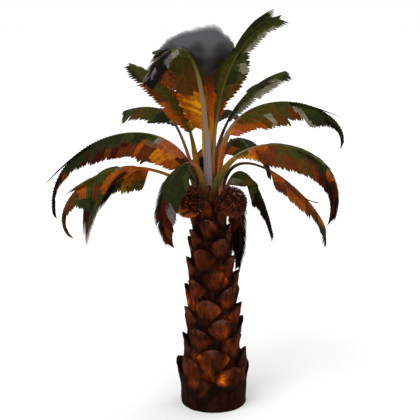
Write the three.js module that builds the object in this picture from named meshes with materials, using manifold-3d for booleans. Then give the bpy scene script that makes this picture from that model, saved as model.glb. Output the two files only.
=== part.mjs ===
// Burned oil palm, rooted in the ground: a stout trunk clad in the stubs of old
// frond bases, three fruit bunches under the crown, and a crown of arching fronds.
// Sizes are millimetres and degrees, +Z is up, and the origin is the middle of the
// flat cut under the trunk, at ground level. Headings are counted from +X towards +Y.
import * as THREE from "three";
import { ConvexGeometry } from "three/addons/geometries/ConvexGeometry.js";
import { mergeVertices } from "three/addons/utils/BufferGeometryUtils.js";
import Module from "manifold-3d";

// The trunk: a leaning core whose radius follows these heights, up to the crown's heart
const TRUNK_TOP = 3300;
const LEAN = -75;
const CORE_SIDES = 14;
const CORE = [
  { height: 0, radius: 505 },
  { height: 300, radius: 520 },
  { height: 620, radius: 485 },
  { height: 880, radius: 418 },
  { height: 1700, radius: 370 },
  { height: 2500, radius: 298 },
  { height: 2950, radius: 250 },
  { height: 3150, radius: 212 },
  { height: 3330, radius: 160 },
  { height: 3470, radius: 105 },
  { height: 3560, radius: 48 },
];
const CROWN_CLEARANCE = 0.3;

// Stubs of old frond bases, set on the trunk in one spiral of golden-angle steps. Their
// half width is a share of the trunk's radius, and they stand out by turns more and less.
const STUB_COUNT = 47;
const STUB_FIRST_HEIGHT = 330;
const STUB_LAST_HEIGHT = 3010;
const GOLDEN_ANGLE = 137.508;
const STUB_START_ANGLE = 250;
const STUB_LENGTH = { low: 430, high: 330 };
const STUB_HALF_WIDTH = 0.616;
const STUB_LIFT = { low: 88, high: 62 };
const STUB_LIFT_ROUND = [0.8, 1, 1.2, 0.9, 1.1];
const STUB_SINK = 70;

// Fruit bunches: knobbly ovoids on short stalks between the lowest fronds
const BUNCH = { width: 400, length: 440, knobs: 9, turns: 6, knob: 0.07 };
const BUNCH_STALK = { radius: 46, length: 240, drop: 40, sink: 60, sides: 8 };
const BUNCHES = [
  { name: "fruit_bunch_left", heading: 228, reach: 425, height: 3195, tilt: 60 },
  { name: "fruit_bunch_right", heading: -36, reach: 435, height: 3190, tilt: 70 },
  { name: "fruit_bunch_back", heading: 90, reach: 430, height: 3060, tilt: 62 },
];

// Fronds. seat is where the stalk leaves the heart: heading, radius and height.
// launch and arrive give the midrib's direction above the horizontal and how far that
// direction reaches, tip is the midrib's end as reach and height from the trunk's axis.
// blade is where the leaflets begin and stalk how stout the stalk is. left and right give
// each side's greatest leaflet length and how far it hangs below the midrib. outline is
// the share of the blade by which the leaflets have their full length, then from where to
// where they change and to what share of it. roll is the blade's turn about the midrib.
// streamers are the long strips that the torn blade ends in, each from a place on the
// midrib to its tip.
const FRONDS = [
  { name: "frond_upright_right", heading: -20, seat: [322, 105, 3402], launch: [95, 660],
    arrive: [17, 1006], tip: [1077, 5834], blade: 0.2, stalk: 1.2, left: [350, 10], right: [250, 0],
    outline: [0.48, 0.5, 0.66, 0.52], roll: -62,
    streamers: [{ from: 0.72, tip: [980, 5970, 60], width: 170 }] },
  { name: "frond_folded_left", heading: 225, seat: [264, 105, 3400], launch: [90, 3213],
    arrive: [-75, 100], tip: [1189, 4957], blade: 0.1, stalk: 1.3, left: [300, 12],
    right: [620, 16], outline: [0.05, 0.55, 0.9, 0.25], roll: 0, streamers: [] },
  { name: "frond_upper_left", heading: 168, seat: [184, 105, 3404], launch: [71, 699],
    arrive: [30, 1361], tip: [1227, 5159], blade: 0.5, stalk: 1, left: [110, 6], right: [230, 6],
    outline: [0.1, 0.1, 0.5, 1.3], roll: -50,
    streamers: [{ from: 0.8, tip: [1190, 5050, 40], width: 130 }] },
  { name: "frond_back_left", heading: 138, seat: [128, 165, 3300], launch: [55, 829],
    arrive: [-17, 1402], tip: [1848, 4343], blade: 0.5, stalk: 1, left: [200, 62], right: [240, 5],
    outline: [0.25, 0, 0.5, 1.6], roll: 0, streamers: [] },
  { name: "frond_long_left", heading: 188, seat: [170, 165, 3290], launch: [83, 1551],
    arrive: [-101, 1203], tip: [2279, 2981], blade: 0.13, stalk: 1.3, left: [460, 58], right: [330, 30],
    outline: [0.08, 0.45, 0.74, 0.17], roll: 0,
    streamers: [{ from: 0.61, tip: [2410, 3380, -40], width: 90 }] },
  { name: "frond_low_left", heading: 208, seat: [206, 165, 3290], launch: [40, 1668],
    arrive: [-134, 668], tip: [2185, 2852], blade: 0.22, stalk: 1, left: [520, 46], right: [260, 25],
    outline: [0.05, 0.3, 0.55, 0.18], roll: 0,
    streamers: [
      { from: 0.34, tip: [2040, 2760, 230], width: 420 },
      { from: 0.5, tip: [2200, 3400, -60], width: 110 },
    ] },
  { name: "frond_front_left", heading: 240, seat: [240, 165, 3270], launch: [91, 1109],
    arrive: [-130, 1102], tip: [1134, 2726], blade: 0.3, stalk: 1, left: [330, 40], right: [300, 30],
    outline: [0.3, 0.6, 0.9, 0.25], roll: 0,
    streamers: [{ from: 0.4, tip: [560, 3480, 230], width: 120 }] },
  { name: "frond_drooping_right", heading: 4, seat: [358, 226, 3120], launch: [84, 760],
    arrive: [-78, 1192], tip: [980, 2572], blade: 0.2, stalk: 1, left: [180, 20], right: [430, 45],
    outline: [0.3, 0.6, 1, 0.3], roll: 0, streamers: [] },
  { name: "frond_hanging_back", heading: 58, seat: [60, 226, 3120], launch: [67, 554],
    arrive: [-103, 1223], tip: [878, 1902], blade: 0.34, stalk: 1, left: [170, 30], right: [290, 30],
    outline: [0.3, 0.7, 1, 0.4], roll: 0, streamers: [] },
  { name: "frond_long_right", heading: -26, seat: [302, 165, 3280], launch: [81, 1246],
    arrive: [-109, 1223], tip: [1947, 3041], blade: 0.22, stalk: 1.6, left: [230, 12], right: [430, 58],
    outline: [0.25, 0.4, 0.9, 0.36], roll: 0,
    streamers: [{ from: 0.55, tip: [1900, 3710, 70], width: 130 }] },
  { name: "frond_high_right", heading: 6, seat: [350, 165, 3300], launch: [97, 1900],
    arrive: [-99, 716], tip: [2015, 3979], blade: 0.22, stalk: 1.3, left: [280, 20], right: [430, 60],
    outline: [0.22, 0.36, 0.7, 0.3], roll: 0,
    streamers: [{ from: 0.55, tip: [2040, 4280, 60], width: 120 }] },
  { name: "frond_upper_right", heading: 48, seat: [42, 105, 3400], launch: [92, 638],
    arrive: [5, 1262], tip: [1856, 4978], blade: 0.44, stalk: 1, left: [120, 30], right: [140, 40],
    outline: [0.3, 0.1, 0.8, 1.5], roll: 0,
    streamers: [{ from: 0.7, tip: [1780, 4840, -60], width: 170 }] },
  { name: "frond_upper_back", heading: 75, seat: [108, 105, 3400], launch: [83, 354],
    arrive: [-28, 1774], tip: [1997, 4099], blade: 0.55, stalk: 1, left: [190, 20], right: [190, 20],
    outline: [0.3, 0.6, 1, 0.4], roll: 0, streamers: [] },
  { name: "frond_torn_right", heading: 28, seat: [40, 165, 3290], launch: [92, 790],
    arrive: [-71, 939], tip: [1081, 3489], blade: 0.3, stalk: 1, left: [270, 0], right: [330, 50],
    outline: [0.15, 0.8, 1, 0.7], roll: 0, streamers: [] },
  { name: "frond_burned_right", heading: 14, seat: [26, 226, 3120], launch: [91, 1558],
    arrive: [-160, 437], tip: [1806, 2483], blade: 0.43, stalk: 1, left: [50, 20], right: [330, 40],
    outline: [0, 0.1, 0.9, 0.3], roll: 0,
    streamers: [{ from: 0.65, tip: [1830, 2920, 60], width: 80 }] },
  { name: "frond_back", heading: 96, seat: [84, 165, 3280], launch: [76, 900],
    arrive: [-95, 900], tip: [1900, 2900], blade: 0.3, stalk: 1, left: [360, 46], right: [360, 46],
    outline: [0.25, 0.5, 0.9, 0.4], roll: 0, streamers: [] },
  { name: "frond_low_back_left", heading: 128, seat: [124, 226, 3120], launch: [82, 950],
    arrive: [-97, 762], tip: [1099, 2575], blade: 0.4, stalk: 1, left: [230, 30], right: [230, 30],
    outline: [0.25, 0.5, 0.9, 0.4], roll: 0, streamers: [] },
  { name: "frond_mid_back_left", heading: 156, seat: [150, 226, 3120], launch: [88, 1200],
    arrive: [-39, 401], tip: [1931, 3756], blade: 0.3, stalk: 1, left: [240, 20], right: [220, 20],
    outline: [0.25, 0.6, 1, 0.5], roll: 0, streamers: [] },
];

// Midrib and stalk: flat on top with a keel below, given as half width and depth
const RIB_WIDTH = [
  { at: 0, half: 48, depth: 58 },
  { at: 0.1, half: 38, depth: 48 },
  { at: 0.3, half: 26, depth: 36 },
  { at: 0.7, half: 15, depth: 20 },
  { at: 1, half: 5, depth: 8 },
];
// Its section, in half widths and depths
const RIB_SECTION = [[1, 0.3], [-1, 0.3], [-0.75, -0.2], [0, -0.7], [0.75, -0.2]];
// Stalks seated nearer the axis than this start slimmer, to share the heart's narrow top
const INNER_SEAT = { radius: 150, slim: 0.75, until: 0.25 };
// Where a stout stalk is stoutest, and how far from there it is an ordinary one again
const STOUTEST = { at: 0.12, within: 0.3 };
const ROLL_BETWEEN = [0.04, 0.3];
const SEAT_SWING = 0.55;
const STALK_ROOT = 70;
const STALK_STATIONS = 4;
// A frond that stands further than this from the line between its ends is made in two
// parts, which meet at its bend with this much between them
const WIDE_BEND = 300;
const PART_GAP = 0.3;

// Leaflets: each stands for a few of the real ones and is cut to the rib from its
// neighbours. One that would come too near an earlier frond is burned back in steps.
const LEAFLETS_A_SIDE = 9;
const LEAFLET_END = 0.985;
const LEAFLET_GAP = 0.06;
const LEAFLET_ANGLE = { first: 66, last: 30 };
const LEAFLET_SAG = 0.18;
const LEAFLET_SHOULDER = 0.35;
const LEAFLET_CLEARANCE = 4;
const BARE_RINGS = 14;
const BURNED_BACK = [1, 0.75, 0.5, 0.28, 0.12];
// Its free corners, as shares of its root's length and of its own
const LEAFLET_CORNERS = [[0.05, 0.84], [0.5, 1], [0.95, 0.8]];
// A blade's thickness is a share of its length, and no less than this
const BLADE_THICKNESS = { share: 0.011, least: 5 };
// Streamers: how far they follow the midrib, and the part of a sine that is their outline
const STREAMER = { steps: 4, bend: 0.4, outline: [0.2, 0.96] };

const COLOURS = {
  trunk: { color: 0x4a2412, roughness: 0.85, metalness: 0 },
  fruit: { color: 0x6a240c, roughness: 0.6, metalness: 0 },
  frond: { color: 0x37421b, roughness: 0.55, metalness: 0 },
};

const radians = THREE.MathUtils.degToRad;
const lerp = THREE.MathUtils.lerp;
const UP = new THREE.Vector3(0, 0, 1);

// A repeatable run of numbers from 0 to 1
function seededNumbers(seed) {
  let state = seed;
  return () => {
    state = (state + 0x6d2b79f5) | 0;
    let mixed = Math.imul(state ^ (state >>> 15), 1 | state);
    mixed = (mixed + Math.imul(mixed ^ (mixed >>> 7), 61 | mixed)) ^ mixed;
    return ((mixed ^ (mixed >>> 14)) >>> 0) / 4294967296;
  };
}

// The value of one field between the two rows that a position lies between
function between(rows, key, field, position) {
  const next = rows.findIndex((row) => row[key] >= position);
  if (next === 0) return rows[0][field];
  if (next < 0) return rows[rows.length - 1][field];
  const [a, b] = [rows[next - 1], rows[next]];
  return lerp(a[field], b[field], (position - a[key]) / (b[key] - a[key]));
}

const axisAt = (height) =>
  new THREE.Vector3(LEAN * Math.max(0, height / TRUNK_TOP) ** 2, 0, height);

const compass = (degrees) =>
  new THREE.Vector3(Math.cos(radians(degrees)), Math.sin(radians(degrees)), 0);

const wasm = await Module();
wasm.setup();

// A closed geometry as a solid that can be joined and cut
function solidFrom(geometry) {
  const bare = new THREE.BufferGeometry();
  const flat = geometry.index ? geometry.toNonIndexed() : geometry;
  bare.setAttribute("position", flat.getAttribute("position"));
  const merged = mergeVertices(bare, 1e-3);
  return new wasm.Manifold(
    new wasm.Mesh({
      numProp: 3,
      vertProperties: new Float32Array(merged.attributes.position.array),
      triVerts: new Uint32Array(merged.index.array),
    }),
  );
}

// A closed geometry from corner points and faces, each face a ring of corners
function geometryFrom(corners, faces) {
  const triangles = [];
  for (const face of faces) {
    for (let i = 1; i < face.length - 1; i += 1) {
      triangles.push(face[0], face[i], face[i + 1]);
    }
  }
  const geometry = new THREE.BufferGeometry().setFromPoints(corners);
  geometry.setIndex(triangles);
  return geometry;
}

// Rings of points joined into one closed skin, with a flat face at each end
function loft(rings) {
  const around = rings[0].length;
  const faces = [];
  rings.slice(1).forEach((_, row) => {
    for (let i = 0; i < around; i += 1) {
      const next = (i + 1) % around;
      const [low, high] = [row * around, (row + 1) * around];
      faces.push([low + i, low + next, high + next, high + i]);
    }
  });
  const ends = [...Array(around).keys()];
  const last = (rings.length - 1) * around;
  faces.push([...ends].reverse());
  faces.push(ends.map((i) => last + i));
  return geometryFrom(rings.flat(), faces);
}

// The trunk's core, grown outward by a clearance where it is used to cut what meets it
function coreSolid(grown) {
  const rings = CORE.map(({ height, radius }) => {
    const centre = axisAt(height);
    return [...Array(CORE_SIDES).keys()].map((i) =>
      compass((360 * i) / CORE_SIDES)
        .multiplyScalar(radius + grown)
        .add(centre)
        .add(new THREE.Vector3(0, 0, height === CORE.at(-1).height ? grown : 0)),
    );
  });
  return solidFrom(loft(rings));
}

// One stub: a wedge that rises out of the trunk to a free upper tip, diamond-shaped from
// the front. Grown, it is the same wedge spread a little about its middle.
function stubSolid(index, grown) {
  const share = index / (STUB_COUNT - 1);
  const height = lerp(STUB_FIRST_HEIGHT, STUB_LAST_HEIGHT, share);
  const radius = between(CORE, "height", "radius", height);
  const length = lerp(STUB_LENGTH.low, STUB_LENGTH.high, share);
  const half = radius * STUB_HALF_WIDTH;
  const round = STUB_LIFT_ROUND[index % STUB_LIFT_ROUND.length];
  const lift = lerp(STUB_LIFT.low, STUB_LIFT.high, share) * round;
  const heading = STUB_START_ANGLE + GOLDEN_ANGLE * index;
  const point = ([turn, up, out]) => {
    const at = height + up * length;
    const skin = between(CORE, "height", "radius", at);
    const angle = heading + THREE.MathUtils.radToDeg((turn * half) / radius);
    return compass(angle)
      .multiplyScalar(skin + out)
      .add(axisAt(at));
  };
  const corners = [
    [0, -0.55, -12],
    [-1, 0.02, -10],
    [1, 0.02, -10],
    [-0.5, 0.36, lift * 0.72],
    [0.5, 0.36, lift * 0.72],
    [0, 0.5, lift],
    [0, 0, lift * 0.5],
    [-0.55, 0.2, -STUB_SINK],
    [0.55, 0.2, -STUB_SINK],
    [0, 0.42, -STUB_SINK],
  ].map(point);
  const middle = new THREE.Vector3();
  corners.forEach((corner) => middle.addScaledVector(corner, 1 / corners.length));
  const spread = 1 + grown / STUB_SINK;
  corners.forEach((corner) => corner.sub(middle).multiplyScalar(spread).add(middle));
  return solidFrom(new ConvexGeometry(corners));
}

// Core and stubs as one solid, cut flat at the ground
function trunkSolid(grown) {
  const stubs = [...Array(STUB_COUNT).keys()].map((index) => stubSolid(index, grown));
  return wasm.Manifold.union([coreSolid(grown), ...stubs]);
}

// The largest closed body of a solid, which fills what joining has sealed and drops loose scraps
function largestBody(solid) {
  return solid.decompose().reduce((best, body) => (body.volume() > best.volume() ? body : best));
}

// The midrib as a curve in its heading's upright plane, once it has left its seat
function midribOf(frond) {
  const [seatHeading, seatRadius, seatHeight] = frond.seat;
  const turn = radians(seatHeading - frond.heading);
  const outward = compass(frond.heading);
  const aside = new THREE.Vector3().crossVectors(UP, outward);
  const place = (reach, height, sideways) =>
    new THREE.Vector3(LEAN, 0, height)
      .addScaledVector(outward, reach)
      .addScaledVector(aside, sideways);
  const reachOf = ([angle, length]) => Math.cos(radians(angle)) * length;
  const riseOf = ([angle, length]) => Math.sin(radians(angle)) * length;
  const { launch, arrive, tip } = frond;
  const seatReach = seatRadius * Math.cos(turn);
  const seatAside = seatRadius * Math.sin(turn);
  const curve = new THREE.CubicBezierCurve3(
    place(seatReach, seatHeight, seatAside),
    place(seatReach + reachOf(launch), seatHeight + riseOf(launch), seatAside * SEAT_SWING),
    place(tip[0] - reachOf(arrive), tip[1] - riseOf(arrive), 0),
    place(tip[0], tip[1], 0),
  );
  return { frond, aside, place, curve };
}

// A point of the midrib, with the ways forward, across the blade and up out of it
function frameAt({ frond, aside, curve }, share) {
  const at = curve.getPoint(share);
  const forward = curve.getTangent(share);
  const across = aside.clone().addScaledVector(forward, -aside.dot(forward)).normalize();
  const roll = radians(frond.roll) * THREE.MathUtils.smoothstep(share, ...ROLL_BETWEEN);
  across.applyAxisAngle(forward, roll);
  const above = new THREE.Vector3().crossVectors(forward, across);
  return { at, forward, across, above };
}

// The section of stalk and midrib at a share of the length: flat above, keeled below
function ribRing(midrib, share, setBack) {
  const { at, forward, across, above } = frameAt(midrib, share);
  const inner = midrib.frond.seat[1] < INNER_SEAT.radius;
  const slim = inner ? lerp(INNER_SEAT.slim, 1, Math.min(1, share / INNER_SEAT.until)) : 1;
  const away = Math.min(1, Math.abs(share - STOUTEST.at) / STOUTEST.within);
  const half = between(RIB_WIDTH, "at", "half", share) * lerp(midrib.frond.stalk, 1, away) * slim;
  const depth = between(RIB_WIDTH, "at", "depth", share) * slim;
  return RIB_SECTION.map(([side, lift]) =>
    at
      .clone()
      .addScaledVector(forward, -setBack)
      .addScaledVector(across, side * half)
      .addScaledVector(above, lift * depth),
  );
}

const thicknessOf = (length) => Math.max(BLADE_THICKNESS.least, BLADE_THICKNESS.share * length);

// How long a leaflet is for its place along the blade, as a share of the greatest length
function bladeOutline(share, [full, from, to, least]) {
  const shoulder = THREE.MathUtils.smoothstep(share, full - LEAFLET_SHOULDER, full);
  return shoulder * lerp(1, least, THREE.MathUtils.smoothstep(share, from, to));
}

// The three free corners of a leaflet, each with the direction its face looks in
function leafletCorners(midrib, leaf) {
  const fold = radians(leaf.fold);
  const angle = radians(leaf.angle);
  const corner = ([along, out]) => {
    const root = frameAt(midrib, lerp(leaf.start, leaf.end, along));
    const lateral = root.across
      .clone()
      .multiplyScalar(leaf.side * Math.cos(fold))
      .addScaledVector(root.above, -Math.sin(fold));
    const face = new THREE.Vector3().crossVectors(root.forward, lateral).multiplyScalar(leaf.side);
    const reach = out * leaf.length;
    const point = root.at
      .clone()
      .addScaledVector(lateral, reach * Math.sin(angle))
      .addScaledVector(root.forward, reach * Math.cos(angle));
    point.z -= LEAFLET_SAG * reach * out;
    return { point, face };
  };
  return LEAFLET_CORNERS.map(corner);
}

// A thin blade from the corners of its outline. They run down one edge and back up the
// other, with the tip between them.
function thinBlade(outline, thickness) {
  const turning = new THREE.Vector3();
  outline.forEach(({ point }, i) => {
    const following = outline[(i + 1) % outline.length].point;
    turning.add(new THREE.Vector3().crossVectors(point, following));
  });
  const corners = turning.dot(outline[0].face) < 0 ? [...outline].reverse() : outline;
  const layer = (lift) =>
    corners.map(({ point, face }) => point.clone().addScaledVector(face, lift * thickness));
  const count = corners.length;
  const faces = [];
  for (let i = 0; i < (count - 1) / 2; i += 1) {
    const [a, b, c, d] = [i, i + 1, count - 2 - i, count - 1 - i];
    faces.push(b === c ? [a, b, d] : [a, b, c, d]);
  }
  const under = faces.map((face) => face.map((i) => i + count).reverse());
  const edges = corners.map((_, i) => [(i + 1) % count, i, i + count, ((i + 1) % count) + count]);
  return solidFrom(geometryFrom([...layer(0.5), ...layer(-0.5)], [...faces, ...under, ...edges]));
}

// A leaflet on its own, to see how near it comes to what is there already
function leafletAlone(midrib, leaf) {
  const root = (share) => {
    const { at, above } = frameAt(midrib, share);
    return { point: at, face: above };
  };
  const outline = [root(leaf.start), ...leafletCorners(midrib, leaf), root(leaf.end)];
  return thinBlade(outline, thicknessOf(leaf.length));
}

// A long torn strip that leaves the midrib and tapers to its own tip
function streamerSolid(midrib, streamer) {
  const root = frameAt(midrib, streamer.from);
  const tip = midrib.place(...streamer.tip);
  const gap = tip.distanceTo(root.at);
  const bend = root.at.clone().addScaledVector(root.forward, gap * STREAMER.bend);
  const path = new THREE.QuadraticBezierCurve3(root.at, bend, tip);
  const edges = [1, -1].map((side) =>
    [...Array(STREAMER.steps).keys()].map((i) => {
      const share = i / STREAMER.steps;
      const forward = path.getTangent(share);
      const across = root.across.clone().addScaledVector(forward, -root.across.dot(forward));
      const half = (streamer.width / 2) * Math.sin(Math.PI * lerp(...STREAMER.outline, share));
      const point = path.getPoint(share).addScaledVector(across.normalize(), side * half);
      return { point, face: new THREE.Vector3().crossVectors(forward, across) };
    }),
  );
  const end = { point: tip, face: edges[0].at(-1).face };
  return thinBlade([...edges[0], end, ...edges[1].reverse()], thicknessOf(gap));
}

// The leaflets of a whole frond, each at its full length
function leafletsOf(midrib, random) {
  const { frond } = midrib;
  const step = (LEAFLET_END - frond.blade) / LEAFLETS_A_SIDE;
  const leaves = [];
  for (let index = 0; index < LEAFLETS_A_SIDE; index += 1) {
    const share = (index + 0.5) / LEAFLETS_A_SIDE;
    const start = frond.blade + step * index;
    for (const side of [1, -1]) {
      const [spread, fold] = side > 0 ? frond.left : frond.right;
      leaves.push({
        side,
        fold,
        start,
        end: start + step * (1 - LEAFLET_GAP),
        angle: lerp(LEAFLET_ANGLE.first, LEAFLET_ANGLE.last, share),
        length: spread * bladeOutline(share, frond.outline) * lerp(0.9, 1.08, random()),
      });
    }
  }
  return leaves;
}

// A leaflet as long as its place allows beside what is there already
function burnedBack(midrib, leaf, others) {
  const fits = (burned) => {
    const tried = leafletAlone(midrib, { ...leaf, length: leaf.length * burned });
    return others.every((other) => tried.minGap(other, 20) >= LEAFLET_CLEARANCE);
  };
  return { ...leaf, length: leaf.length * (BURNED_BACK.find(fits) ?? 0) };
}

// The shares of the length at which the skin of stalk and midrib has a ring
function ringShares({ frond }, leaves) {
  const stalk = [...Array(STALK_STATIONS).keys()].map((i) => (frond.blade * i) / STALK_STATIONS);
  const left = leaves.filter((leaf) => leaf.side > 0);
  return [...stalk, ...left.flatMap(({ start, end }) => [start, end]), 1];
}

// The stretches that a frond is made in: the whole of it, or up to its bend and on from
// there. The bend lies on a ring, clear of leaflets and before any streamer.
function partsOf(midrib, leaves) {
  const [foot, tip] = [midrib.curve.getPoint(0), midrib.curve.getPoint(1)];
  const chord = new THREE.Line3(foot, tip);
  const awayFromChord = (share) => {
    const at = midrib.curve.getPoint(share);
    return chord.closestPointToPoint(at, true, new THREE.Vector3()).distanceTo(at);
  };
  const first = Math.min(1, ...midrib.frond.streamers.map(({ from }) => from));
  const starts = leaves.map(({ start }) => start);
  const places = ringShares(midrib, leaves)
    .filter((share) => share > 0 && share < first && !starts.includes(share))
    .sort((a, b) => awayFromChord(b) - awayFromChord(a));
  return awayFromChord(places[0]) > WIDE_BEND ? [[0, places[0]], [places[0], 1]] : [[0, 1]];
}

// Stalk, midrib and leaflets in one skin, on one stretch of the frond. A leaflet grows out
// of the rib's side face, so that the outline is cut to the rib between one and the next.
function bladedRib(midrib, leaves, rings, [from, to]) {
  const shares = rings.filter((share) => share > from && share <= to);
  if (from === 0) shares.unshift(0);
  const corners = ribRing(midrib, from, from === 0 ? STALK_ROOT : -PART_GAP);
  shares.forEach((share) => corners.push(...ribRing(midrib, share, 0)));
  const faces = [[4, 3, 2, 1, 0]];
  const last = shares.length * 5;
  faces.push([0, 1, 2, 3, 4].map((i) => last + i));
  for (let row = 0; row < shares.length; row += 1) {
    const start = row > 0 ? shares[row - 1] : -1;
    for (let i = 0; i < 5; i += 1) {
      const next = (i + 1) % 5;
      const [a, b] = [row * 5 + i, row * 5 + next];
      const [c, d] = [b + 5, a + 5];
      const side = { 1: -1, 4: 1 }[i];
      const leaf = leaves.find((one) => one.side === side && one.start === start);
      if (!leaf || leaf.length === 0) {
        faces.push([a, b, c, d]);
        continue;
      }
      const first = corners.length;
      const lift = thicknessOf(leaf.length) / 2;
      for (const { point, face } of leafletCorners(midrib, leaf)) {
        corners.push(point.clone().addScaledVector(face, lift));
        corners.push(point.clone().addScaledVector(face, -lift));
      }
      const [t1, b1, t2, b2, t3, b3] = [0, 1, 2, 3, 4, 5].map((k) => first + k);
      // Root corners: upper and lower at the leaflet's start, then at its end
      const [u0, l0, u1, l1] = side > 0 ? [b, a, c, d] : [a, b, d, c];
      const skin = [
        [u0, t1, t3, u1],
        [t1, t2, t3],
        [l0, l1, b3, b1],
        [b1, b3, b2],
        [u0, l0, b1, t1],
        [t1, b1, b2, t2],
        [t2, b2, b3, t3],
        [t3, b3, l1, u1],
      ];
      skin.forEach((face) => faces.push(side < 0 ? face : [...face].reverse()));
    }
  }
  return solidFrom(geometryFrom(corners, faces));
}

// A frond's solids, each clear of what is there already
function frondSolids(frond, index, others, trunk) {
  const midrib = midribOf(frond);
  const leaves = leafletsOf(midrib, seededNumbers(90 + index));
  const rings = ringShares(midrib, leaves);
  const parts = [];
  for (const [from, to] of partsOf(midrib, leaves)) {
    const beside = [...others, ...parts];
    const own = leaves
      .filter(({ start }) => start >= from && start < to)
      .map((leaf) => burnedBack(midrib, leaf, beside));
    const strips = frond.streamers
      .filter((streamer) => streamer.from >= from && streamer.from < to)
      .map((streamer) => streamerSolid(midrib, streamer));
    const skin = bladedRib(midrib, own, rings, [from, to]);
    parts.push(largestBody(wasm.Manifold.union([skin, ...strips]).subtract(trunk)));
  }
  return parts;
}

// A fruit bunch: an ovoid whose skin swells into knobs along a spiral, on its stalk
function bunchSolid(bunch) {
  const outward = compass(bunch.heading);
  const middle = axisAt(TRUNK_TOP).setZ(bunch.height).addScaledVector(outward, bunch.reach);
  const lengthwise = outward
    .clone()
    .multiplyScalar(Math.cos(radians(bunch.tilt)))
    .addScaledVector(UP, -Math.sin(radians(bunch.tilt)));
  const turn = new THREE.Quaternion().setFromUnitVectors(UP, lengthwise);
  const rows = BUNCH.turns * 2;
  const body = new THREE.SphereGeometry(0.5, BUNCH.knobs * 2, rows);
  const position = body.getAttribute("position");
  const point = new THREE.Vector3();
  for (let i = 0; i < position.count; i += 1) {
    point.fromBufferAttribute(position, i);
    const polar = Math.acos(THREE.MathUtils.clamp(point.y * 2, -1, 1));
    const row = Math.round((polar / Math.PI) * rows);
    const column = Math.round((Math.atan2(point.z, point.x) / Math.PI) * BUNCH.knobs);
    const knob = (row + column) % 2 === 0 ? 1 + BUNCH.knob : 1 - BUNCH.knob;
    point.multiplyScalar(row === 0 || row === rows ? 1 : knob);
    point.set(point.x * BUNCH.width, -point.z * BUNCH.width, point.y * BUNCH.length);
    point.applyQuaternion(turn).add(middle);
    position.setXYZ(i, point.x, point.y, point.z);
  }
  const { radius, length, drop, sink, sides } = BUNCH_STALK;
  const stalk = new THREE.CylinderGeometry(radius, radius, length, sides);
  const level = new THREE.Quaternion().setFromUnitVectors(new THREE.Vector3(0, 1, 0), outward);
  const inner = middle.clone().addScaledVector(outward, -length / 2 - sink);
  stalk.applyQuaternion(level).translate(inner.x, inner.y, inner.z - drop);
  return wasm.Manifold.union([solidFrom(body), solidFrom(stalk)]);
}

function meshFrom(solid, name, look) {
  const { vertProperties, triVerts } = solid.getMesh();
  const geometry = new THREE.BufferGeometry();
  geometry.setAttribute("position", new THREE.BufferAttribute(vertProperties, 3));
  geometry.setIndex(new THREE.BufferAttribute(triVerts, 1));
  const mesh = new THREE.Mesh(geometry, new THREE.MeshStandardMaterial({ ...look, flatShading: true }));
  mesh.name = name;
  return mesh;
}

const palm = new THREE.Group();
palm.name = "burned_oil_palm";
palm.add(meshFrom(largestBody(trunkSolid(0)), "trunk", COLOURS.trunk));

const grownTrunk = trunkSolid(CROWN_CLEARANCE);
const finished = [];
const finish = (solid, name, look) => {
  const mesh = meshFrom(solid, name, look);
  palm.add(mesh);
  finished.push(solidFrom(mesh.geometry));
};
for (const bunch of BUNCHES) {
  finish(largestBody(bunchSolid(bunch).subtract(grownTrunk)), bunch.name, COLOURS.fruit);
}
// Bare stalks and midribs, which the leaflets of every other frond keep clear of
const bareRings = [...Array(BARE_RINGS + 1).keys()].map((i) => i / BARE_RINGS);
const bareRibs = FRONDS.map((frond) => bladedRib(midribOf(frond), [], bareRings, [0, 1]));
FRONDS.forEach((frond, index) => {
  const others = [...finished, ...bareRibs.slice(index + 1)];
  frondSolids(frond, index, others, grownTrunk).forEach((solid, part) => {
    finish(solid, part === 0 ? frond.name : `${frond.name}_end`, COLOURS.frond);
  });
});

export default palm;
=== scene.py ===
"""A burned oil palm: charred trunk clad in old leaf bases, scorched fruit bunches, a crown of
torn fronds that are green, ember orange and black, and the smoke that rises out of its heart.
Metres, +Z up, origin at the middle of the flat cut under the trunk."""
import math
import random
from bisect import bisect_left
from collections import namedtuple

import bpy
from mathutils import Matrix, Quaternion, Vector, noise
from mathutils.bvhtree import BVHTree


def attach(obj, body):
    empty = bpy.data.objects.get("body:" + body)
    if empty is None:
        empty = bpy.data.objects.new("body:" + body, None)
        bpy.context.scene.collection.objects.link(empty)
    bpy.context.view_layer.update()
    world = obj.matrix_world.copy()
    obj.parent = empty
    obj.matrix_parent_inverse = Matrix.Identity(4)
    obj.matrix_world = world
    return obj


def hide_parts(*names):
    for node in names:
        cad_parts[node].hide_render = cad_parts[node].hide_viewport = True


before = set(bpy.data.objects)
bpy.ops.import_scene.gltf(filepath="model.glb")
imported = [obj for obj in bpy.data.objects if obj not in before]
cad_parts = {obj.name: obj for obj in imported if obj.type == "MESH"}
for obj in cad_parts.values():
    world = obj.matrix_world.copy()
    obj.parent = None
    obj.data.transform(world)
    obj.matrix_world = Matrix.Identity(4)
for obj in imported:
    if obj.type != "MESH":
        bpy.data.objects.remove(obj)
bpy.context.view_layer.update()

bl_info = {
    "name": "Burned oil palm",
    "version": (1, 0, 0),
    "blender": (4, 5, 0),
    "location": "View3D > Sidebar > Burned palm",
    "description": "Builds a burned oil palm from its frame: trunk, fruit, fronds and smoke",
    "category": "Add Mesh",
}

UP = Vector((0, 0, 1))

# Trunk: a leaning core whose radius follows these heights, up to the crown's heart
TRUNK_TOP = 3.3
LEAN = -0.075
CORE_PROFILE = (
    (0, 0.505), (0.3, 0.52), (0.62, 0.485), (0.88, 0.418), (1.7, 0.37), (2.5, 0.298),
    (2.95, 0.25), (3.15, 0.212), (3.33, 0.16), (3.47, 0.105), (3.56, 0.048),
)
CORE_AROUND = 96
CORE_UP = 120
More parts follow.
